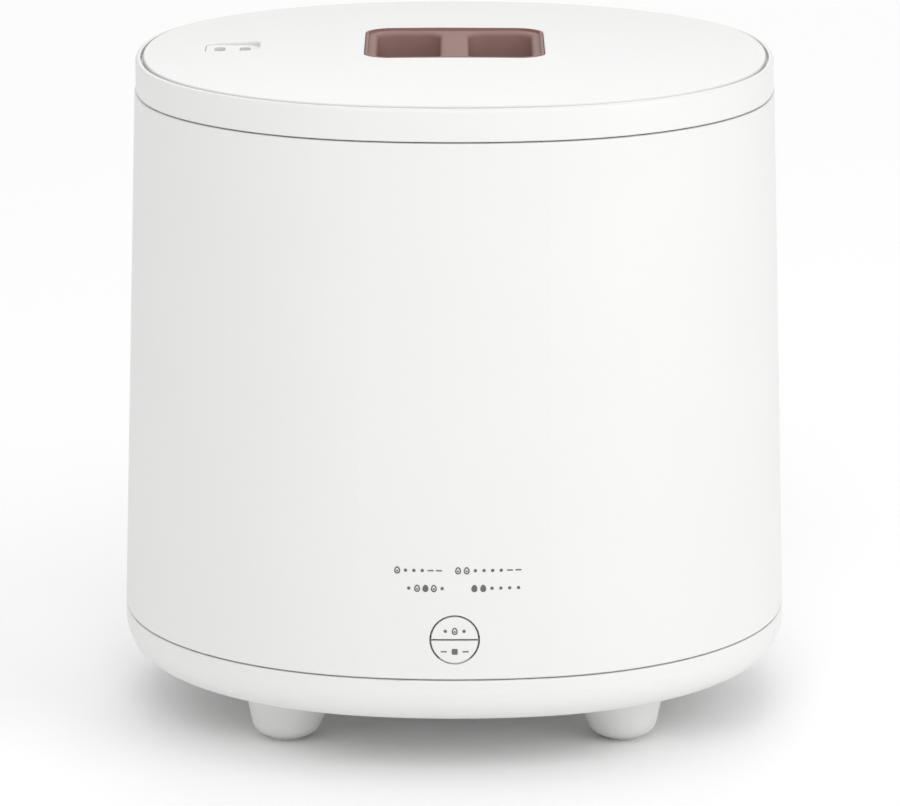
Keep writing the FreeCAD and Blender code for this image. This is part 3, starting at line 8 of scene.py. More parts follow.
import bmesh
import bpy
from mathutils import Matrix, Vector


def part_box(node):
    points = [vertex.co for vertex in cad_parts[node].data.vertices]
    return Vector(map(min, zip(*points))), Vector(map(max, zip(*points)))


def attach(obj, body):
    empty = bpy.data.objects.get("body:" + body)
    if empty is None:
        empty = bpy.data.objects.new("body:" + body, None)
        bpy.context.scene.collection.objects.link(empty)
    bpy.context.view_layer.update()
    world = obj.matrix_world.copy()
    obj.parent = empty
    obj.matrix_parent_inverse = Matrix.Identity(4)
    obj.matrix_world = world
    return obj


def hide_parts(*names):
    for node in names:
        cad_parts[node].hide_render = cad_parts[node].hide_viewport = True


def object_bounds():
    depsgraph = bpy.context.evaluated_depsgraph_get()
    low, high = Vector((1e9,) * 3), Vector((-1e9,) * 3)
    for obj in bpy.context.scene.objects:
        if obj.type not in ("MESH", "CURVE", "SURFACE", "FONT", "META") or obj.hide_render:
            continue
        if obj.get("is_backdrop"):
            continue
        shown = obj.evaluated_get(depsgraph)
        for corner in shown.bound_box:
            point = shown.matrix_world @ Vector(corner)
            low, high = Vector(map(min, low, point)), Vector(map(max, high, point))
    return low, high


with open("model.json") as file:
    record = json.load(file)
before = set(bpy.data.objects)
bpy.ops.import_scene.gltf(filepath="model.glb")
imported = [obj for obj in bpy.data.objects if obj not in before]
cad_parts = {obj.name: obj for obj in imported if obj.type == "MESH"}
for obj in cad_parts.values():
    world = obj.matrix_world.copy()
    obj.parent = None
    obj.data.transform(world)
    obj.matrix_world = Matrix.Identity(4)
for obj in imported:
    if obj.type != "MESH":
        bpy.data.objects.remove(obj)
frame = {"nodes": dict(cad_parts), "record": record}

# Egg cooker: a soft-square white casing on four legs, with two half-round keys
# in front and a lift-off lid that has a brown two-pocket grip.
# The frame holds the casing, pot, heater and joints; this file dresses them and
# adds the pieces that only the eye needs. Lengths in the classes are millimetres.

MM = 0.001
MERGE = 0.001 * MM
FACING_FRONT = (math.pi / 2, 0.0, 0.0)
log = logging.getLogger("egg_cooker")


# ------------------------------------------------------------------ material help

def linear(hex_code: str) -> tuple[float, float, float, float]:
    """Turn an sRGB colour into the linear one that shaders take.

    Args:
        hex_code: Six hex digits after a hash sign.

    Returns:
        Red, green, blue and an alpha of one.
    """
    parts = [int(hex_code[i:i + 2], 16) / 255 for i in (1, 3, 5)]
    return (*[p / 12.92 if p <= 0.04045 else ((p + 0.055) / 1.055) ** 2.4 for p in parts], 1.0)


def add_node(tree: bpy.types.NodeTree, kind: str, settings: dict | None = None,
             links: dict | None = None) -> bpy.types.Node:
    """Add one shader node with its settings and links.

    Args:
        tree: The material's node tree.
        kind: The node's type, without the ShaderNode in front.
        settings: Values by property name, or by input name or number.
        links: Output sockets by input name or number.

    Returns:
        The new node.
    """
    node = tree.nodes.new("ShaderNode" + kind)
    for name, value in (settings or {}).items():
        if isinstance(name, str) and hasattr(node, name):
            setattr(node, name, value)
        else:
            node.inputs[name].default_value = value
    for name, socket in (links or {}).items():
        tree.links.new(socket, node.inputs[name])
    return node


@dataclass(frozen=True)
class Finish:
    """What every finish has: a name, a colour and a shader to hang patterns on."""

    name: str
    colour: str
    roughness: float = 0.45

    def blank(self, **sockets: object) -> tuple[bpy.types.NodeTree, bpy.types.Node, bpy.types.Node]:
        """Start the material.

        Args:
            sockets: Uniform shader values, with underscores for spaces.

        Returns:
            The tree, its shader and a node that gives object coordinates.
        """
        material = bpy.data.materials.new(self.name)
        material.use_nodes = True
        material.diffuse_color = linear(self.colour)
        tree = material.node_tree
        shader = tree.nodes["Principled BSDF"]
        shader.inputs["Base Color"].default_value = linear(self.colour)
        shader.inputs["Roughness"].default_value = self.roughness
        for name, value in sockets.items():
            shader.inputs[name.replace("_", " ")].default_value = value
        return tree, shader, add_node(tree, "TexCoord")

    def noise(self, tree: bpy.types.NodeTree, place: bpy.types.Node, grain: float,
              detail: float = 3.0) -> bpy.types.Node:
        """Add noise whose features are about as wide as grain, in millimetres."""
        return add_node(tree, "TexNoise", {"Scale": 1 / (grain * MM), "Detail": detail},
                        {"Vector": place.outputs["Object"]})

    def tint(self, tree: bpy.types.NodeTree, shader: bpy.types.Node, factor: bpy.types.NodeSocket,
             other: str) -> None:
        """Let the colour wander towards another one as the factor rises."""
        mix = add_node(tree, "Mix", {"data_type": "RGBA", 6: linear(self.colour), 7: linear(other)},
                       {0: factor})
        tree.links.new(mix.outputs[2], shader.inputs["Base Color"])

    def rough(self, tree: bpy.types.NodeTree, shader: bpy.types.Node,
              factor: bpy.types.NodeSocket, swing: float) -> None:
        """Let the roughness swing about its value as the factor goes from 0 to 1."""
        spread = add_node(tree, "MapRange", {"To Min": self.roughness - swing,
                                             "To Max": self.roughness + swing}, {"Value": factor})
        tree.links.new(spread.outputs["Result"], shader.inputs["Roughness"])

    def relief(self, tree: bpy.types.NodeTree, shader: bpy.types.Node,
               height: bpy.types.NodeSocket, depth: float) -> None:
        """Raise and lower the surface by depth, in millimetres."""
        bump = add_node(tree, "Bump", {"Distance": depth * MM}, {"Height": height})
        tree.links.new(bump.outputs["Normal"], shader.inputs["Normal"])


@dataclass(frozen=True)
class MouldedPlastic(Finish):
    """Injection-moulded PP, ABS or nylon: a spark-eroded mould leaves a fine even grain.

    The grain is nearer 0.1 mm on the real thing, too fine to show; it is drawn coarser.
    """

    shade: str = ""
    grain: float = 0.6
    depth: float = 0.008
    flow: float = 38.0
    glow: float = 0.0
    ior: float = 1.49
    gloss: float = 0.5

    def material(self) -> bpy.types.Material:
        """Build the material and return it."""
        tree, shader, place = self.blank(IOR=self.ior, Subsurface_Weight=self.glow,
                                         Subsurface_Scale=1.2 * MM,
                                         Specular_IOR_Level=self.gloss)
        shader.inputs["Subsurface Radius"].default_value = (1.0, 0.9, 0.8)
        grain = self.noise(tree, place, self.grain, 2.0)
        flow = self.noise(tree, place, self.flow)
        self.tint(tree, shader, flow.outputs["Fac"], self.shade or self.colour)
        self.rough(tree, shader, flow.outputs["Fac"], 0.05)
        self.relief(tree, shader, grain.outputs["Fac"], self.depth)
        return bpy.data.materials[self.name]


@dataclass(frozen=True)
class Silicone(Finish):
    """Press-moulded silicone: satin, a little see-through, with the mould's fine peel."""

    shade: str = "#d6d5d0"

    def material(self) -> bpy.types.Material:
        """Build the material and return it."""
        tree, shader, place = self.blank(IOR=1.41, Subsurface_Weight=0.35,
                                         Subsurface_Scale=2 * MM, Sheen_Weight=0.12)
        peel = self.noise(tree, place, 0.9)
        dust = self.noise(tree, place, 7.0, 5.0)
        self.tint(tree, shader, dust.outputs["Fac"], self.shade)
        self.rough(tree, shader, dust.outputs["Fac"], 0.08)
        self.relief(tree, shader, peel.outputs["Fac"], 0.02)
        return bpy.data.materials[self.name]


@dataclass(frozen=True)
class SpunSteel(Finish):
    """Deep-drawn stainless sheet, polished on a lathe: fine rings about the pot's axis."""

    shade: str = "#aeb0b2"
    ring: float = 0.9

    def material(self) -> bpy.types.Material:
        """Build the material and return it."""
        tree, shader, place = self.blank(Metallic=1.0)
        rings = add_node(tree, "TexWave", {"wave_type": "RINGS", "rings_direction": "Z",
                                           "Scale": 0.314 / (self.ring * MM), "Distortion": 1.5,
                                           "Detail": 3.0, "Detail Scale": 2.0},
                         {"Vector": place.outputs["Object"]})
        stain = self.noise(tree, place, 24.0, 4.0)
        self.tint(tree, shader, stain.outputs["Fac"], self.shade)
        self.rough(tree, shader, rings.outputs["Fac"], 0.05)
        self.relief(tree, shader, rings.outputs["Fac"], 0.006)
        return bpy.data.materials[self.name]


@dataclass(frozen=True)
class PlatedSteel(Finish):
    """Zinc-plated or drawn metal: bright, with a cloudy passivated film and small scratches."""

    shade: str = "#cfd6dc"
    film: float = 2.5

    def material(self) -> bpy.types.Material:
        """Build the material and return it."""
        tree, shader, place = self.blank(Metallic=1.0)
        film = self.noise(tree, place, self.film, 4.0)
        scratch = add_node(tree, "TexVoronoi", {"feature": "DISTANCE_TO_EDGE",
                                                "Scale": 1 / (1.1 * MM)},
                           {"Vector": place.outputs["Object"]})
        self.tint(tree, shader, film.outputs["Fac"], self.shade)
        self.rough(tree, shader, film.outputs["Fac"], 0.08)
        self.relief(tree, shader, scratch.outputs["Distance"], 0.01)
        return bpy.data.materials[self.name]


@dataclass(frozen=True)
class CastMetal(Finish):
    """Die-cast aluminium as it leaves the die: dull grey with a sandy skin and flow marks."""

    shade: str = "#9a9c9e"

    def material(self) -> bpy.types.Material:
        """Build the material and return it."""
        tree, shader, place = self.blank(Metallic=1.0)
        skin = self.noise(tree, place, 0.8, 6.0)
        flow = self.noise(tree, place, 12.0, 4.0)
        self.tint(tree, shader, flow.outputs["Fac"], self.shade)
        self.rough(tree, shader, skin.outputs["Fac"], 0.1)
        self.relief(tree, shader, skin.outputs["Fac"], 0.06)
        return bpy.data.materials[self.name]


@dataclass(frozen=True)
class SolderMask(Finish):
    """Glass-epoxy board under green solder mask: copper tracks show as paler raised lines."""

    track: str = "#4d8f58"
    pitch: float = 5.0

    def material(self) -> bpy.types.Material:
        """Build the material and return it."""
        tree, shader, place = self.blank(IOR=1.52, Coat_Weight=0.4, Coat_Roughness=0.15)
        cells = add_node(tree, "TexVoronoi", {"distance": "MANHATTAN", "feature": "DISTANCE_TO_EDGE",
                                              "Scale": 1 / (self.pitch * MM), "Randomness": 0.6},
                         {"Vector": place.outputs["Object"]})
        tracks = add_node(tree, "MapRange", {"From Min": 0.08, "From Max": 0.12, "To Min": 1.0,
                                             "To Max": 0.0}, {"Value": cells.outputs["Distance"]})
        self.tint(tree, shader, tracks.outputs["Result"], self.track)
        self.rough(tree, shader, tracks.outputs["Result"], 0.05)
        self.relief(tree, shader, tracks.outputs["Result"], 0.04)
        return bpy.data.materials[self.name]


@dataclass(frozen=True)
class ClearResin(Finish):
    """Cast epoxy or glass: clear, glossy, with a faint ripple from casting."""

    def material(self) -> bpy.types.Material:
        """Build the material and return it."""
        tree, shader, place = self.blank(IOR=1.53, Transmission_Weight=0.75)
        ripple = self.noise(tree, place, 1.5)
        self.rough(tree, shader, ripple.outputs["Fac"], 0.04)
        self.relief(tree, shader, ripple.outputs["Fac"], 0.02)
        return bpy.data.materials[self.name]


@dataclass(frozen=True)
class WireSleeve(Finish):
    """Extruded sleeve on a wire: satin, with faint lengthwise waves and handling marks."""

    shade: str = "#808080"

    def material(self) -> bpy.types.Material:
        """Build the material and return it."""
        tree, shader, place = self.blank(IOR=1.45, Sheen_Weight=0.08)
        marks = self.noise(tree, place, 3.0, 4.0)
        self.tint(tree, shader, marks.outputs["Fac"], self.shade)
        self.rough(tree, shader, marks.outputs["Fac"], 0.1)
        self.relief(tree, shader, marks.outputs["Fac"], 0.03)
        return bpy.data.materials[self.name]


@dataclass(frozen=True)
class PadPrint(Finish):
    """Pad-printed ink: a flat, slightly uneven film whose edge creeps into the grain."""

    def material(self) -> bpy.types.Material:
        """Build the material and return it."""
        tree, shader, place = self.blank(IOR=1.5)
        film = self.noise(tree, place, 0.3)
        self.tint(tree, shader, film.outputs["Fac"], "#6e6e6f")
        self.rough(tree, shader, film.outputs["Fac"], 0.06)
        self.relief(tree, shader, film.outputs["Fac"], 0.004)
        return bpy.data.materials[self.name]


# The record's material slot that each finish belongs to
FINISHES: dict[str, Finish] = {
    "white_shell": MouldedPlastic("satin_white_polypropylene", "#e8e8e7", 0.42, shade="#e5e5e4",
                                  glow=0.08),
    "lid_white": MouldedPlastic("satin_white_lid_polypropylene", "#e8e8e7", 0.40, shade="#e6e6e5",
                                glow=0.08),
    "grip_brown": MouldedPlastic("mauve_brown_moulded_abs", "#997b76", 0.6, shade="#947671",
                                 grain=0.5, depth=0.012, ior=1.53, gloss=0.06),
    "key_white": MouldedPlastic("satin_white_abs", "#e8e8e7", 0.38, shade="#e5e5e4", grain=0.4,
                                glow=0.08, ior=1.53),
    "rack_plastic": MouldedPlastic("ivory_rack_polypropylene", "#e4e4e0", 0.4, shade="#dcdcd7",
                                   glow=0.18),
    "bowl_plastic": MouldedPlastic("milky_bowl_polypropylene", "#e9e9e4", 0.34, shade="#e2e2dc",
                                   depth=0.004, glow=0.3),
    "inlet_black": MouldedPlastic("black_inlet_nylon", "#1d1d1f", 0.42, shade="#242427",
                                  depth=0.015, ior=1.53),
    "component_black": MouldedPlastic("black_moulded_epoxy", "#232325", 0.5, shade="#2b2b2d"),
    "component_blue": MouldedPlastic("blue_moulded_case", "#2b4f8c", 0.38, shade="#315694"),
    "component_yellow": MouldedPlastic("yellow_wound_tape", "#c9a531", 0.3, shade="#bf9a2a",
                                       grain=2.0, depth=0.05),
    "terminal_green": MouldedPlastic("green_terminal_polyamide", "#3d8f55", 0.45, shade="#36844d"),
    "pad_silicone": Silicone("white_pad_silicone", "#e9e9e7", 0.5),
    "seal_silicone": Silicone("white_seal_silicone", "#e6e6e4", 0.45),
    "stainless": SpunSteel("spun_stainless", "#c8c9ca", 0.24),
    "zinc_steel": PlatedSteel("zinc_plated_steel", "#b9bcc0", 0.32),
    "element_steel": PlatedSteel("heat_dulled_element_sheath", "#8d8f92", 0.5, shade="#7b7468",
                                 film=6.0),
    "brass": PlatedSteel("drawn_brass", "#c9a65a", 0.28, shade="#b8924a"),
    "cast_aluminium": CastMetal("cast_aluminium_skin", "#b4b6b8", 0.5),
    "board_green": SolderMask("green_solder_mask", "#2f6b3c", 0.4),
    "lamp_clear": ClearResin("clear_cast_epoxy", "#f2efe0", 0.12),
    "wire_brown": WireSleeve("brown_silicone_sleeve", "#6a4630", 0.5, shade="#5d3c28"),
    "wire_blue": WireSleeve("blue_silicone_sleeve", "#2f5f9e", 0.5, shade="#28548f"),
    "wire_red": WireSleeve("red_silicone_sleeve", "#a83a32", 0.5, shade="#98322b"),
    "wire_white": WireSleeve("white_flat_cable_sleeve", "#dcdcda", 0.5, shade="#cfcfcb"),
}
INK = PadPrint("grey_pad_printing_ink", "#5a5a5b", 0.55)


# ------------------------------------------------------------------ modelling help

def deselect() -> None:
    """Leave nothing selected, so that an operator acts on its own piece only."""
    if bpy.context.object and bpy.context.object.mode != "OBJECT":
        bpy.ops.object.mode_set(mode="OBJECT")
    bpy.ops.object.select_all(action="DESELECT")


def start(name: str) -> bpy.types.Object:
    """Name the primitive that was just added and open it for editing."""
    piece = bpy.context.object
    piece.name = piece.data.name = name
    bpy.ops.object.mode_set(mode="EDIT")
    return piece


def choose(piece: bpy.types.Object, mode: str, test: Callable[..., bool]) -> None:
    """Select the faces, edges or vertices of the open piece that pass a test.

    Args:
        piece: The piece that is open in edit mode.
        mode: FACE, EDGE or VERT.
        test: A function of one face, edge or vertex of the edit mesh.
    """
    bpy.ops.mesh.select_mode(type=mode)
    bpy.ops.mesh.select_all(action="DESELECT")
    mesh = bmesh.from_edit_mesh(piece.data)
    parts = {"FACE": mesh.faces, "EDGE": mesh.edges, "VERT": mesh.verts}[mode]
    for part in parts:
        if test(part):
            part.select_set(True)
    mesh.select_flush_mode()
    bmesh.update_edit_mesh(piece.data)


def open_copy(name: str, node: str) -> bpy.types.Object:
    """Copy a node's mesh into a new piece, open it and merge its loose triangles.

    Args:
        name: The new piece's name.
        node: The node of the frame to copy.

    Returns:
        The piece, open in edit mode with all of it selected.
    """
    deselect()
    piece = bpy.data.objects.new(name, frame["nodes"][node].data.copy())
    bpy.context.scene.collection.objects.link(piece)
    bpy.context.view_layer.objects.active = piece
    piece.select_set(True)
    piece.data.name = name
    bpy.ops.object.mode_set(mode="EDIT")
    bpy.ops.mesh.select_all(action="SELECT")
    bpy.ops.mesh.remove_doubles(threshold=MERGE)
    return piece


def apply_place(piece: bpy.types.Object) -> None:
    """Put the piece's place and turn into its mesh."""
    deselect()
    piece.select_set(True)
    bpy.context.view_layer.objects.active = piece
    bpy.ops.object.transform_apply(location=True, rotation=True, scale=True)


def modify(piece: bpy.types.Object, kind: str, **settings: object) -> None:
    """Add a modifier to the piece and apply it."""
    bpy.context.view_layer.objects.active = piece
    modifier = piece.modifiers.new(kind.lower(), kind)
    for name, value in settings.items():
        setattr(modifier, name, value)
    bpy.ops.object.modifier_apply(modifier=modifier.name)


def copy_to(piece: bpy.types.Object, name: str, offset: Vector) -> bpy.types.Object:
    """Copy a piece with its own mesh, moved by an offset in metres."""
    twin = piece.copy()
    twin.data = piece.data.copy()
    twin.name = twin.data.name = name
    bpy.context.scene.collection.objects.link(twin)
    twin.location = offset
    apply_place(twin)
    return twin


def join(name: str, pieces: list[bpy.types.Object]) -> bpy.types.Object:
    """Join pieces into one object of that name."""
    deselect()
    for piece in pieces:
        piece.select_set(True)
    bpy.context.view_layer.objects.active = pieces[0]
    bpy.ops.object.join()
    pieces[0].name = pieces[0].data.name = name
    return pieces[0]


@dataclass
class Workshop:
    """Hands each finished piece the material of its slot, and its body."""

    def __post_init__(self) -> None:
        """Make every material once."""
        self.materials = {slot: finish.material() for slot, finish in FINISHES.items()}
        self.ink = INK.material()

    def dress_frame(self) -> None:
        """Give every node of the frame the finish of its slot."""
        for part in frame["record"]["subparts"]:
            node = frame["nodes"][part["node"]]
            material = self.materials[part["material_slot"]]
            node.data.materials.clear()
            node.data.materials.append(material)

    def deliver(self, piece: bpy.types.Object, body: str, slot: str,
                material: bpy.types.Material | None = None, angle: float = 35.0,
                replaces: tuple[str, ...] = ()) -> None:
        """Finish a new piece.

        Args:
            piece: The piece, at its place.
            body: The body that it rides on.
            slot: The record's slot that its finish comes from.
            material: A material other than the slot's.
            angle: Edges sharper than this many degrees stay sharp.
            replaces: Nodes of the frame that it stands for.
        """
        apply_place(piece)
        piece.data.materials.clear()
        piece.data.materials.append(material or self.materials[slot])
        bpy.ops.object.shade_smooth_by_angle(angle=math.radians(angle))
        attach(piece, body)
        if replaces:
            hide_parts(*replaces)
        log.info("%s rides %s, %d faces", piece.name, body, len(piece.data.polygons))


# ------------------------------------------------------------------ front signs

class Sign(Enum):
    """The small pictures that are printed on the casing and the keys."""

    EGG_RING = "egg_ring"
    EGG_FULL = "egg_full"
    DOT = "dot"
    DASH = "dash"
    SQUARE = "square"


@dataclass(frozen=True)
class SignRow:
    """One row of signs between two ends, with how high its middle stands."""

    signs: tuple[Sign, ...]
    left: float
    right: float
    level: float


RING, FULL, DOT, DASH, SQUARE = (Sign.EGG_RING, Sign.EGG_FULL, Sign.DOT, Sign.DASH, Sign.SQUARE)


@dataclass
class FrontSigns:
    """Rows of small printed pictures above the keys, and one on each key."""

    workshop: Workshop
    height: float = 1.9
    egg: float = 1.5
    dot: float = 0.85
    yolk: float = 0.5
    line: float = 0.34
    film: float = 0.05
    build_up: float = 1.6        # the film's thickness, in films
    lower_row: float = 51.5
    upper_row: float = 56.1
    sides: int = 28
    narrowing: float = 0.16      # how much an egg narrows towards its top
    corner: float = 0.22         # share of a dash or a square that its corners take
    stand_off: float = 1.05      # how far out the flat signs start
    rise: float = 2.5            # middle of the mode key's sign above the divide
    drop: float = 2.8            # middle of the cancel key's sign below it

    def shape(self, sign: Sign, x: float, z: float, width: float, height: float) -> bpy.types.Object:
        """Draw one flat sign in front of the casing.

        Args:
            sign: What to draw.
            x: Its middle, left to right.
            z: Its middle, above the floor.
            width: Its width.
            height: Its height.

        Returns:
            A flat piece that faces the front.
        """
        deselect()
        front = -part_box("body_shell")[1].x * self.stand_off
        corners = 4 if sign in (Sign.DASH, Sign.SQUARE) else self.sides
        bpy.ops.mesh.primitive_circle_add(vertices=corners, radius=0.5 * MM, fill_type="NGON",
                                          location=(x * MM, front, z * MM),
                                          rotation=FACING_FRONT)
        piece = start("sign")
        if corners == 4:
            bpy.ops.transform.rotate(value=math.pi / 4, orient_axis="Y",
                                     center_override=(x * MM, front, z * MM))
            bpy.ops.transform.resize(value=(math.sqrt(2), 1, math.sqrt(2)),
                                     center_override=(x * MM, front, z * MM))
        elif sign is not Sign.DOT:
            self.point_egg(piece)
        bpy.ops.mesh.select_all(action="SELECT")
        bpy.ops.transform.resize(value=(width, 1, height), center_override=(x * MM, front, z * MM))
        if corners == 4:
            bpy.ops.mesh.select_all(action="SELECT")
            bpy.ops.mesh.bevel(affect="VERTICES", segments=3,
                               offset=min(width, height) * self.corner * MM)
        if sign is Sign.EGG_RING:
            bpy.ops.mesh.select_all(action="SELECT")
            bpy.ops.mesh.inset(thickness=self.line * MM)
            bpy.ops.mesh.delete(type="FACE")
        bpy.ops.object.mode_set(mode="OBJECT")
        return piece

    def point_egg(self, piece: bpy.types.Object) -> None:
        """Narrow the upper half of a round shape so that it becomes an egg."""
        middle = piece.location.z
        mesh = bmesh.from_edit_mesh(piece.data)
        turn = piece.matrix_world
        for vert in mesh.verts:
            rise = ((turn @ vert.co).z - middle) / (0.5 * MM)
            vert.co.x *= 1 - self.narrowing * rise
        bmesh.update_edit_mesh(piece.data)

    def print_on(self, name: str, pieces: list[bpy.types.Object], node: str, body: str,
                 slot: str) -> None:
        """Lay flat signs on a node's front as a thin film of ink.

        Args:
            name: The name of the printed piece.
            pieces: The flat signs.
            node: The node of the frame that is printed on.
            body: The body that it rides on.
            slot: The slot of that node.
        """
        print_ = join(name, pieces)
        apply_place(print_)
        modify(print_, "SHRINKWRAP", target=frame["nodes"][node], wrap_method="PROJECT",
               use_project_y=True, use_positive_direction=True, use_negative_direction=False,
               wrap_mode="ABOVE_SURFACE", offset=self.film * MM)
        modify(print_, "SOLIDIFY", thickness=self.build_up * self.film * MM, offset=-1.0)
        self.workshop.deliver(print_, body, slot, self.workshop.ink)

    def draw(self, row: SignRow) -> list[bpy.types.Object]:
        """Spread a row's signs evenly between its two ends.

        Args:
            row: The row, its signs from left to right.

        Returns:
            The flat signs; an egg ring also has a yolk dot.
        """
        step = (row.right - row.left - self.egg) / (len(row.signs) - 1)
        drawn = []
        for index, sign in enumerate(row.signs):
            x = row.left + self.egg / 2 + index * step
            drawn.append(self.shape(sign, x, row.level, *self.measures(sign)))
            if sign is Sign.EGG_RING:
                drawn.append(self.shape(Sign.DOT, x, row.level - self.yolk / 3, self.yolk,
                                        self.yolk))
        return drawn

    def measures(self, sign: Sign) -> tuple[float, float]:
        """Give a sign's width and height."""
        return {Sign.EGG_RING: (self.egg, self.height), Sign.EGG_FULL: (self.egg, self.height),
                Sign.DOT: (self.dot, self.dot), Sign.DASH: (self.egg, self.line),
                Sign.SQUARE: (self.egg, self.egg)}[sign]

    def build(self) -> None:
        """Print the four modes on the casing and the two signs on the keys."""
        rows = (SignRow((RING, DOT, DOT, DOT, DASH, DASH), -15.2, -3.2, self.upper_row),
                SignRow((RING, RING, DOT, DOT, DOT, DOT, DASH, DASH), 0.1, 16.8, self.upper_row),
                SignRow((DOT, RING, FULL, RING, DOT), -12.3, -2.4, self.lower_row),
                SignRow((FULL, FULL, DOT, DOT, DOT, DOT), 4.2, 16.8, self.lower_row))
        modes = [sign for row in rows for sign in self.draw(row)]
        self.print_on("mode_signs", modes, "body_shell", "cooker_body", "white_shell")
        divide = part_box("cancel_key")[1].z / MM
        upper = self.draw(SignRow((DOT, RING, DOT), -3.1, 3.1, divide + self.rise))
        self.print_on("mode_key_sign", upper, "mode_key", "mode_key", "key_white")
        lower = self.draw(SignRow((DASH, SQUARE, DASH), -3.5, 3.5, divide - self.drop))
        self.print_on("cancel_key_sign", lower, "cancel_key", "cancel_key", "key_white")


# ------------------------------------------------------------------ soft feet

@dataclass
class FootTreads:
    """The silicone pads under the legs, with a sunk ring so that they grip."""

    workshop: Workshop
    chamfer: float = 0.4
    border: float = 1.0
    groove: float = 0.45
    sink: float = 0.4

    def build(self) -> None:
        """Model one pad and copy it to the other three legs."""
        mount = next(m for m in frame["record"]["mounts"] if m["name"] == "foot_pad_face")
        spread = abs(mount["pos_m"][0])
        low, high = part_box("foot_pads")
        radius, height = high.x - spread, high.z - low.z
        deselect()
        bpy.ops.mesh.primitive_cylinder_add(vertices=64, radius=radius, depth=height,
                                            location=(spread, spread, low.z + height / 2))
        pad = start("foot_pad_1")
        choose(pad, "EDGE", lambda e: all(v.co.z < 0 for v in e.verts))
        bpy.ops.mesh.bevel(offset=self.chamfer * MM, segments=3)
        choose(pad, "FACE", lambda f: f.normal.z < -0.99)
        for inset, depth in ((self.border, 0), (self.groove, -self.sink), (self.groove, 0),
                             (self.groove, self.sink)):
            bpy.ops.mesh.inset(thickness=inset * MM, depth=depth * MM)
        deselect()
        apply_place(pad)
        pads = [pad]
        for index, (x, y) in enumerate(((-1, 1), (-1, -1), (1, -1)), start=2):
            offset = Vector(((x - 1) * spread, (y - 1) * spread, 0))
            pads.append(copy_to(pad, f"foot_pad_{index}", offset))
        for pad in pads:
            self.workshop.deliver(pad, "cooker_body", "pad_silicone", replaces=("foot_pads",))


# ------------------------------------------------------------------ lid

@dataclass
class LidDetails:
    """The grip with its softened pocket edges, and the seal's bead and lip."""

    workshop: Workshop
    pocket_edge: float = 1.1
    mouth_width: float = 0.92    # share of the grip's half width that the mouths stay within
    mouth_length: float = 0.88
    near: float = 0.02
    flat_angle: float = 0.5      # degrees
    sharp: float = 0.8           # radians
    seal_reach: float = 2.0
    bead: float = 0.55
    lip_level: float = 0.36      # shares of the seal's height
    lip_height: float = 0.1
    sides: int = 16
    steps: int = 144
    seal_merge: float = 0.005

    def grip(self) -> None:
        """Round the mouths of the two finger pockets, as the moulding has them."""
        grip = open_copy("pinch_grip", "grip_insert")
        bpy.ops.mesh.dissolve_limited(angle_limit=math.radians(self.flat_angle))
        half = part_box("grip_insert")[1].x
        level = self.bridge_level(grip)
        wide, long = half * self.mouth_width, half * self.mouth_length
        choose(grip, "EDGE", lambda e: all(abs(v.co.z - level) < self.near * MM
                                           and abs(v.co.x) < wide and abs(v.co.y) < long
                                           for v in e.verts)
               and len(e.link_faces) == 2 and e.calc_face_angle(0) > self.sharp)
        bpy.ops.mesh.bevel(offset=self.pocket_edge * MM, segments=5)
        deselect()
        self.workshop.deliver(grip, "lid", "grip_brown", replaces=("grip_insert",))

    def bridge_level(self, grip: bpy.types.Object) -> float:
        """Find the height of the flat bridge between the pockets."""
        mesh = bmesh.from_edit_mesh(grip.data)
        flats = [f for f in mesh.faces if f.normal.z > 0.999]
        return max(flats, key=lambda f: f.calc_area()).verts[0].co.z

    def seal(self) -> None:
        """Spin the seal's bead and its thin sloping lip round the lid's plug."""
        low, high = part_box("lid_seal")
        outer, height = high.x, high.z - low.z
        reach = self.seal_reach * MM
        rings = []
        for radius, level, wide, tall in (
                (outer - reach + self.bead * MM, low.z + height / 2, self.bead * MM, height / 2),
                (outer - reach / 2, low.z + height * self.lip_level, reach / 2,
                 height * self.lip_height)):
            deselect()
            bpy.ops.mesh.primitive_circle_add(vertices=self.sides, radius=1,
                                              location=(radius, 0, level),
                                              rotation=FACING_FRONT)
            ring = start("seal_ring")
            bpy.ops.mesh.select_all(action="SELECT")
            bpy.ops.transform.resize(value=(wide, 1, tall), center_override=(radius, 0, level))
            bpy.ops.mesh.spin(steps=self.steps, angle=2 * math.pi, center=(0, 0, 0),
                              axis=(0, 0, 1))
            bpy.ops.mesh.select_all(action="SELECT")
            bpy.ops.mesh.remove_doubles(threshold=self.seal_merge * MM)
            bpy.ops.mesh.normals_make_consistent(inside=False)
            rings.append(ring)
        self.workshop.deliver(join("lid_seal_lip", rings), "lid", "seal_silicone",
                              replaces=("lid_seal",))

    def build(self) -> None:
        """Model the grip and the seal."""
        self.grip()
        self.seal()


# ------------------------------------------------------------------ casing seams

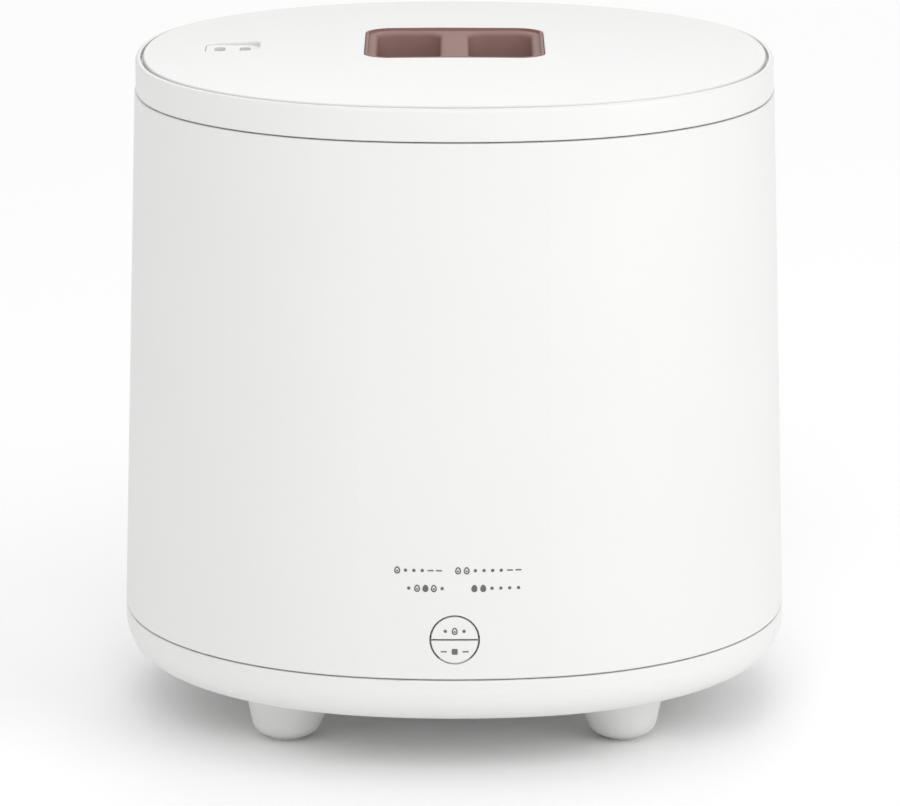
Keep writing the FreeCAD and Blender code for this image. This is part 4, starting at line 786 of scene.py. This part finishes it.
@dataclass
class SeamBands:
    """White bands by the lid seam (a flat sheet) and by the base seam (a strip in the casing's wall)."""

    workshop: Workshop
    set_back: float = 0.28
    width: float = 1.0
    clear: float = 0.04
    wall: float = 2.4
    cut_inset: float = 0.6       # the level cuts, in from the casing's two ends
    same_way: float = 0.9995     # cosine between points that lie in one direction

    def band(self, name: str, cut: float, low: float, high: float) -> None:
        """Make one band that follows the casing's outline at a level cut.

        Args:
            name: The piece's name.
            cut: The height of the cut, in metres.
            low: The level that it is extruded from, in metres.
            high: The level that it is extruded to, in metres.
        """
        band = open_copy(name, "body_shell")
        low, high = low + self.clear * MM, high - self.clear * MM
        bpy.ops.mesh.select_all(action="SELECT")
        bpy.ops.mesh.bisect(plane_co=(0, 0, cut), plane_no=(0, 0, 1), clear_inner=True,
                            clear_outer=True)
        half = max(v.co.x for v in bmesh.from_edit_mesh(band.data).verts)
        choose(band, "VERT", lambda v: self.inside(v.co))
        bpy.ops.mesh.delete(type="VERT")
        bpy.ops.mesh.select_all(action="SELECT")
        bpy.ops.transform.translate(value=(0, 0, low - cut))
        self.shrink(1 - self.set_back * MM / half)
        bpy.ops.mesh.extrude_edges_move(TRANSFORM_OT_translate={"value": (0, 0, high - low)})
        choose(band, "EDGE", lambda e: all(v.co.z > (low + high) / 2 for v in e.verts))
        bpy.ops.mesh.extrude_edges_move()
        self.shrink(1 - self.width * MM / half)
        bpy.ops.mesh.extrude_edges_move(TRANSFORM_OT_translate={"value": (0, 0, low - high)})
        bpy.ops.mesh.select_all(action="SELECT")
        bpy.ops.mesh.select_non_manifold()
        bpy.ops.mesh.bridge_edge_loops()
        bpy.ops.mesh.select_all(action="SELECT")
        bpy.ops.mesh.normals_make_consistent(inside=False)
        deselect()
        self.workshop.deliver(band, "cooker_body", "white_shell")

    def inside(self, point: Vector) -> bool:
        """Tell whether a point of the cut is on the casing's inner face."""
        mesh = bmesh.from_edit_mesh(bpy.context.active_object.data)
        reach = max(v.co.xy.length for v in mesh.verts
                    if v.co.xy.normalized().dot(point.xy.normalized()) > self.same_way)
        return point.xy.length < reach - self.wall / 2 * MM

    def shrink(self, share: float) -> None:
        """Draw what is selected in towards the middle."""
        bpy.ops.transform.resize(value=(share, share, 1), center_override=(0, 0, 0))

    def build(self) -> None:
        """Set one band under the lid and one at the casing's lower end."""
        body_low, body_high = (corner.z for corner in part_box("body_shell"))
        inset = self.cut_inset * MM
        self.band("lid_seam_step", body_high - inset, body_high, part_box("lid_rim")[0].z)
        base_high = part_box("base_shell")[1].z
        self.band("base_seam_step", body_low + inset, base_high, body_low)


# ------------------------------------------------------------------ loose fittings

@dataclass
class LooseFittings:
    """Raised rims on the egg rack, and the rim bead and level rings of the bowl."""

    workshop: Workshop
    hole_radius: float = 16.0
    rim_gap: float = 2.2
    rim_width: float = 0.8
    rim_height: float = 0.7
    bead: float = 0.6
    level_width: float = 0.45
    sink: float = 0.15

    def ring(self, name: str, centre: tuple[float, float, float], radius: float, wide: float,
             tall: float) -> bpy.types.Object:
        """Make one lying ring with an oval section.

        Args:
            name: The ring's name.
            centre: Its middle, in metres.
            radius: Its radius, in metres.
            wide: Half of its section's width, in millimetres.
            tall: Half of its section's height, in millimetres.

        Returns:
            The ring, in object mode.
        """
        deselect()
        bpy.ops.mesh.primitive_torus_add(major_radius=radius, minor_radius=wide * MM,
                                         major_segments=96, minor_segments=12, location=centre)
        ring = start(name)
        bpy.ops.mesh.select_all(action="SELECT")
        bpy.ops.transform.resize(value=(1, 1, tall / wide), center_override=centre)
        deselect()
        return ring

    def rack_rims(self) -> None:
        """Raise a rounded rim round each of the six egg holes."""
        plate = max(v.co.z for v in frame["nodes"]["egg_rack"].data.vertices
                    if v.co.xy.length > 2 * self.hole_radius * MM)
        radius = (self.hole_radius + self.rim_gap) * MM
        rims = []
        for space in frame["record"]["physics"]["openings"]:
            if space["name"].startswith("egg_hole"):
                middle = sum((Vector(corner) for corner in space["box_m"]), Vector()) / 2
                rims.append(self.ring("rim", (middle.x, middle.y, plate), radius,
                                      self.rim_width, self.rim_height))
        self.workshop.deliver(join("rack_hole_rims", rims), "egg_rack", "rack_plastic")

    def wall_radius(self, height: float) -> float:
        """Find the radius of the bowl's inner wall at a height, both in metres."""
        inner = sorted((v.co.z, v.co.xy.length)
                       for v in frame["nodes"]["steaming_bowl"].data.vertices)
        rims = [point for point in inner if point[0] > inner[-1][0] - 0.1 * MM]
        mouth = min(rims, key=lambda point: point[1])
        floor = max((p for p in inner if p[0] < inner[0][0] + 5 * MM), key=lambda p: p[1])
        share = (height - floor[0]) / (mouth[0] - floor[0])
        return floor[1] + (mouth[1] - floor[1]) * share

    def bowl_rings(self) -> None:
        """Bead the bowl's rim and raise three level rings inside its wall."""
        low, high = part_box("steaming_bowl")
        bead = self.ring("bowl_rim_bead", (0, 0, high.z - self.bead * MM / 2),
                         high.x - self.bead * MM, self.bead, self.bead)
        self.workshop.deliver(bead, "steaming_bowl", "bowl_plastic")
        rings = []
        for share in (0.45, 0.62, 0.79):
            height = low.z + (high.z - low.z) * share
            radius = self.wall_radius(height) - self.sink * MM
            rings.append(self.ring("level", (0, 0, height), radius, self.level_width,
                                   self.level_width))
        self.workshop.deliver(join("bowl_level_rings", rings), "steaming_bowl", "bowl_plastic")

    def build(self) -> None:
        """Model the rack's rims and the bowl's rings."""
        self.rack_rims()
        self.bowl_rings()


# ------------------------------------------------------------------ studio

@dataclass
class Studio:
    """A pale floor, soft light from the right and front, and the camera."""

    floor_half: float = 4000.0
    elevation: float = 13.3
    distance: float = 1475.0
    aim: tuple[float, float, float] = (-1.18, 0.0, 78.9)
    lens: float = 222.4

    def floor(self) -> None:
        """Lay the floor that the legs stand on."""
        deselect()
        bpy.ops.mesh.primitive_plane_add(size=2 * self.floor_half * MM)
        floor = start("floor")
        bpy.ops.mesh.subdivide(number_cuts=3)
        bpy.ops.object.mode_set(mode="OBJECT")
        finish = Finish("matt_white_paper", "#fefefe", 0.9)
        tree, shader, place = finish.blank(Specular_IOR_Level=0.15)
        fibre = finish.noise(tree, place, 4.0)
        finish.relief(tree, shader, fibre.outputs["Fac"], 0.01)
        floor.data.materials.append(bpy.data.materials[finish.name])
        floor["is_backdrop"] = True

    def soft_box(self, name: str, place: tuple[float, float, float], size: float,
                 watts: float) -> None:
        """Hang one square soft light that faces the middle of the object.

        Args:
            name: The light's name.
            place: Where it hangs, in millimetres.
            size: Its side, in millimetres.
            watts: Its power.
        """
        light = bpy.data.lights.new(name, "AREA")
        light.size = size * MM
        light.energy = watts
        holder = bpy.data.objects.new(name, light)
        bpy.context.scene.collection.objects.link(holder)
        holder.location = Vector(place) * MM
        aim = Vector((0, 0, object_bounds()[1].z / 2)) - holder.location
        holder.rotation_euler = aim.to_track_quat("-Z", "Y").to_euler()

    def lights(self) -> None:
        """Light the room evenly and add the key light and a weak fill."""
        scene = bpy.context.scene
        world = bpy.data.worlds.new("studio_room")
        world.use_nodes = True
        room = world.node_tree.nodes["Background"]
        room.inputs["Color"].default_value = linear("#ffffff")
        room.inputs["Strength"].default_value = 0.7
        scene.world = world
        scene.view_settings.view_transform = "Standard"
        self.soft_box("key_light", (1500, -900, 900), 1500, 9.5)
        self.soft_box("front_fill", (-150, -1700, 1500), 1200, 10.5)
        self.soft_box("top_light", (0, 200, 2300), 1400, 3.2)
        self.soft_box("back_wash", (0, 2600, 1900), 1600, 14)

    def camera(self) -> None:
        """Stand the camera in front of the keys, a little above the lid."""
        data = bpy.data.cameras.new("studio_camera")
        data.lens = self.lens
        data.clip_end = 20.0
        camera = bpy.data.objects.new("studio_camera", data)
        bpy.context.scene.collection.objects.link(camera)
        lift = math.radians(self.elevation)
        back = Vector((0, -math.cos(lift), math.sin(lift)))
        camera.location = Vector(self.aim) * MM + back * self.distance * MM
        camera.rotation_euler = (-back).to_track_quat("-Z", "Y").to_euler()
        bpy.context.scene.camera = camera

    def build(self) -> None:
        """Set up the floor, the lights and the camera."""
        self.floor()
        self.lights()
        self.camera()


def main() -> None:
    """Dress the frame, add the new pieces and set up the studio."""
    logging.basicConfig(level=logging.INFO, format="%(message)s")
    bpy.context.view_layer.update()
    workshop = Workshop()
    workshop.dress_frame()
    FrontSigns(workshop).build()
    FootTreads(workshop).build()
    LidDetails(workshop).build()
    SeamBands(workshop).build()
    LooseFittings(workshop).build()
    Studio().build()


if __name__ == "__main__":
    main()
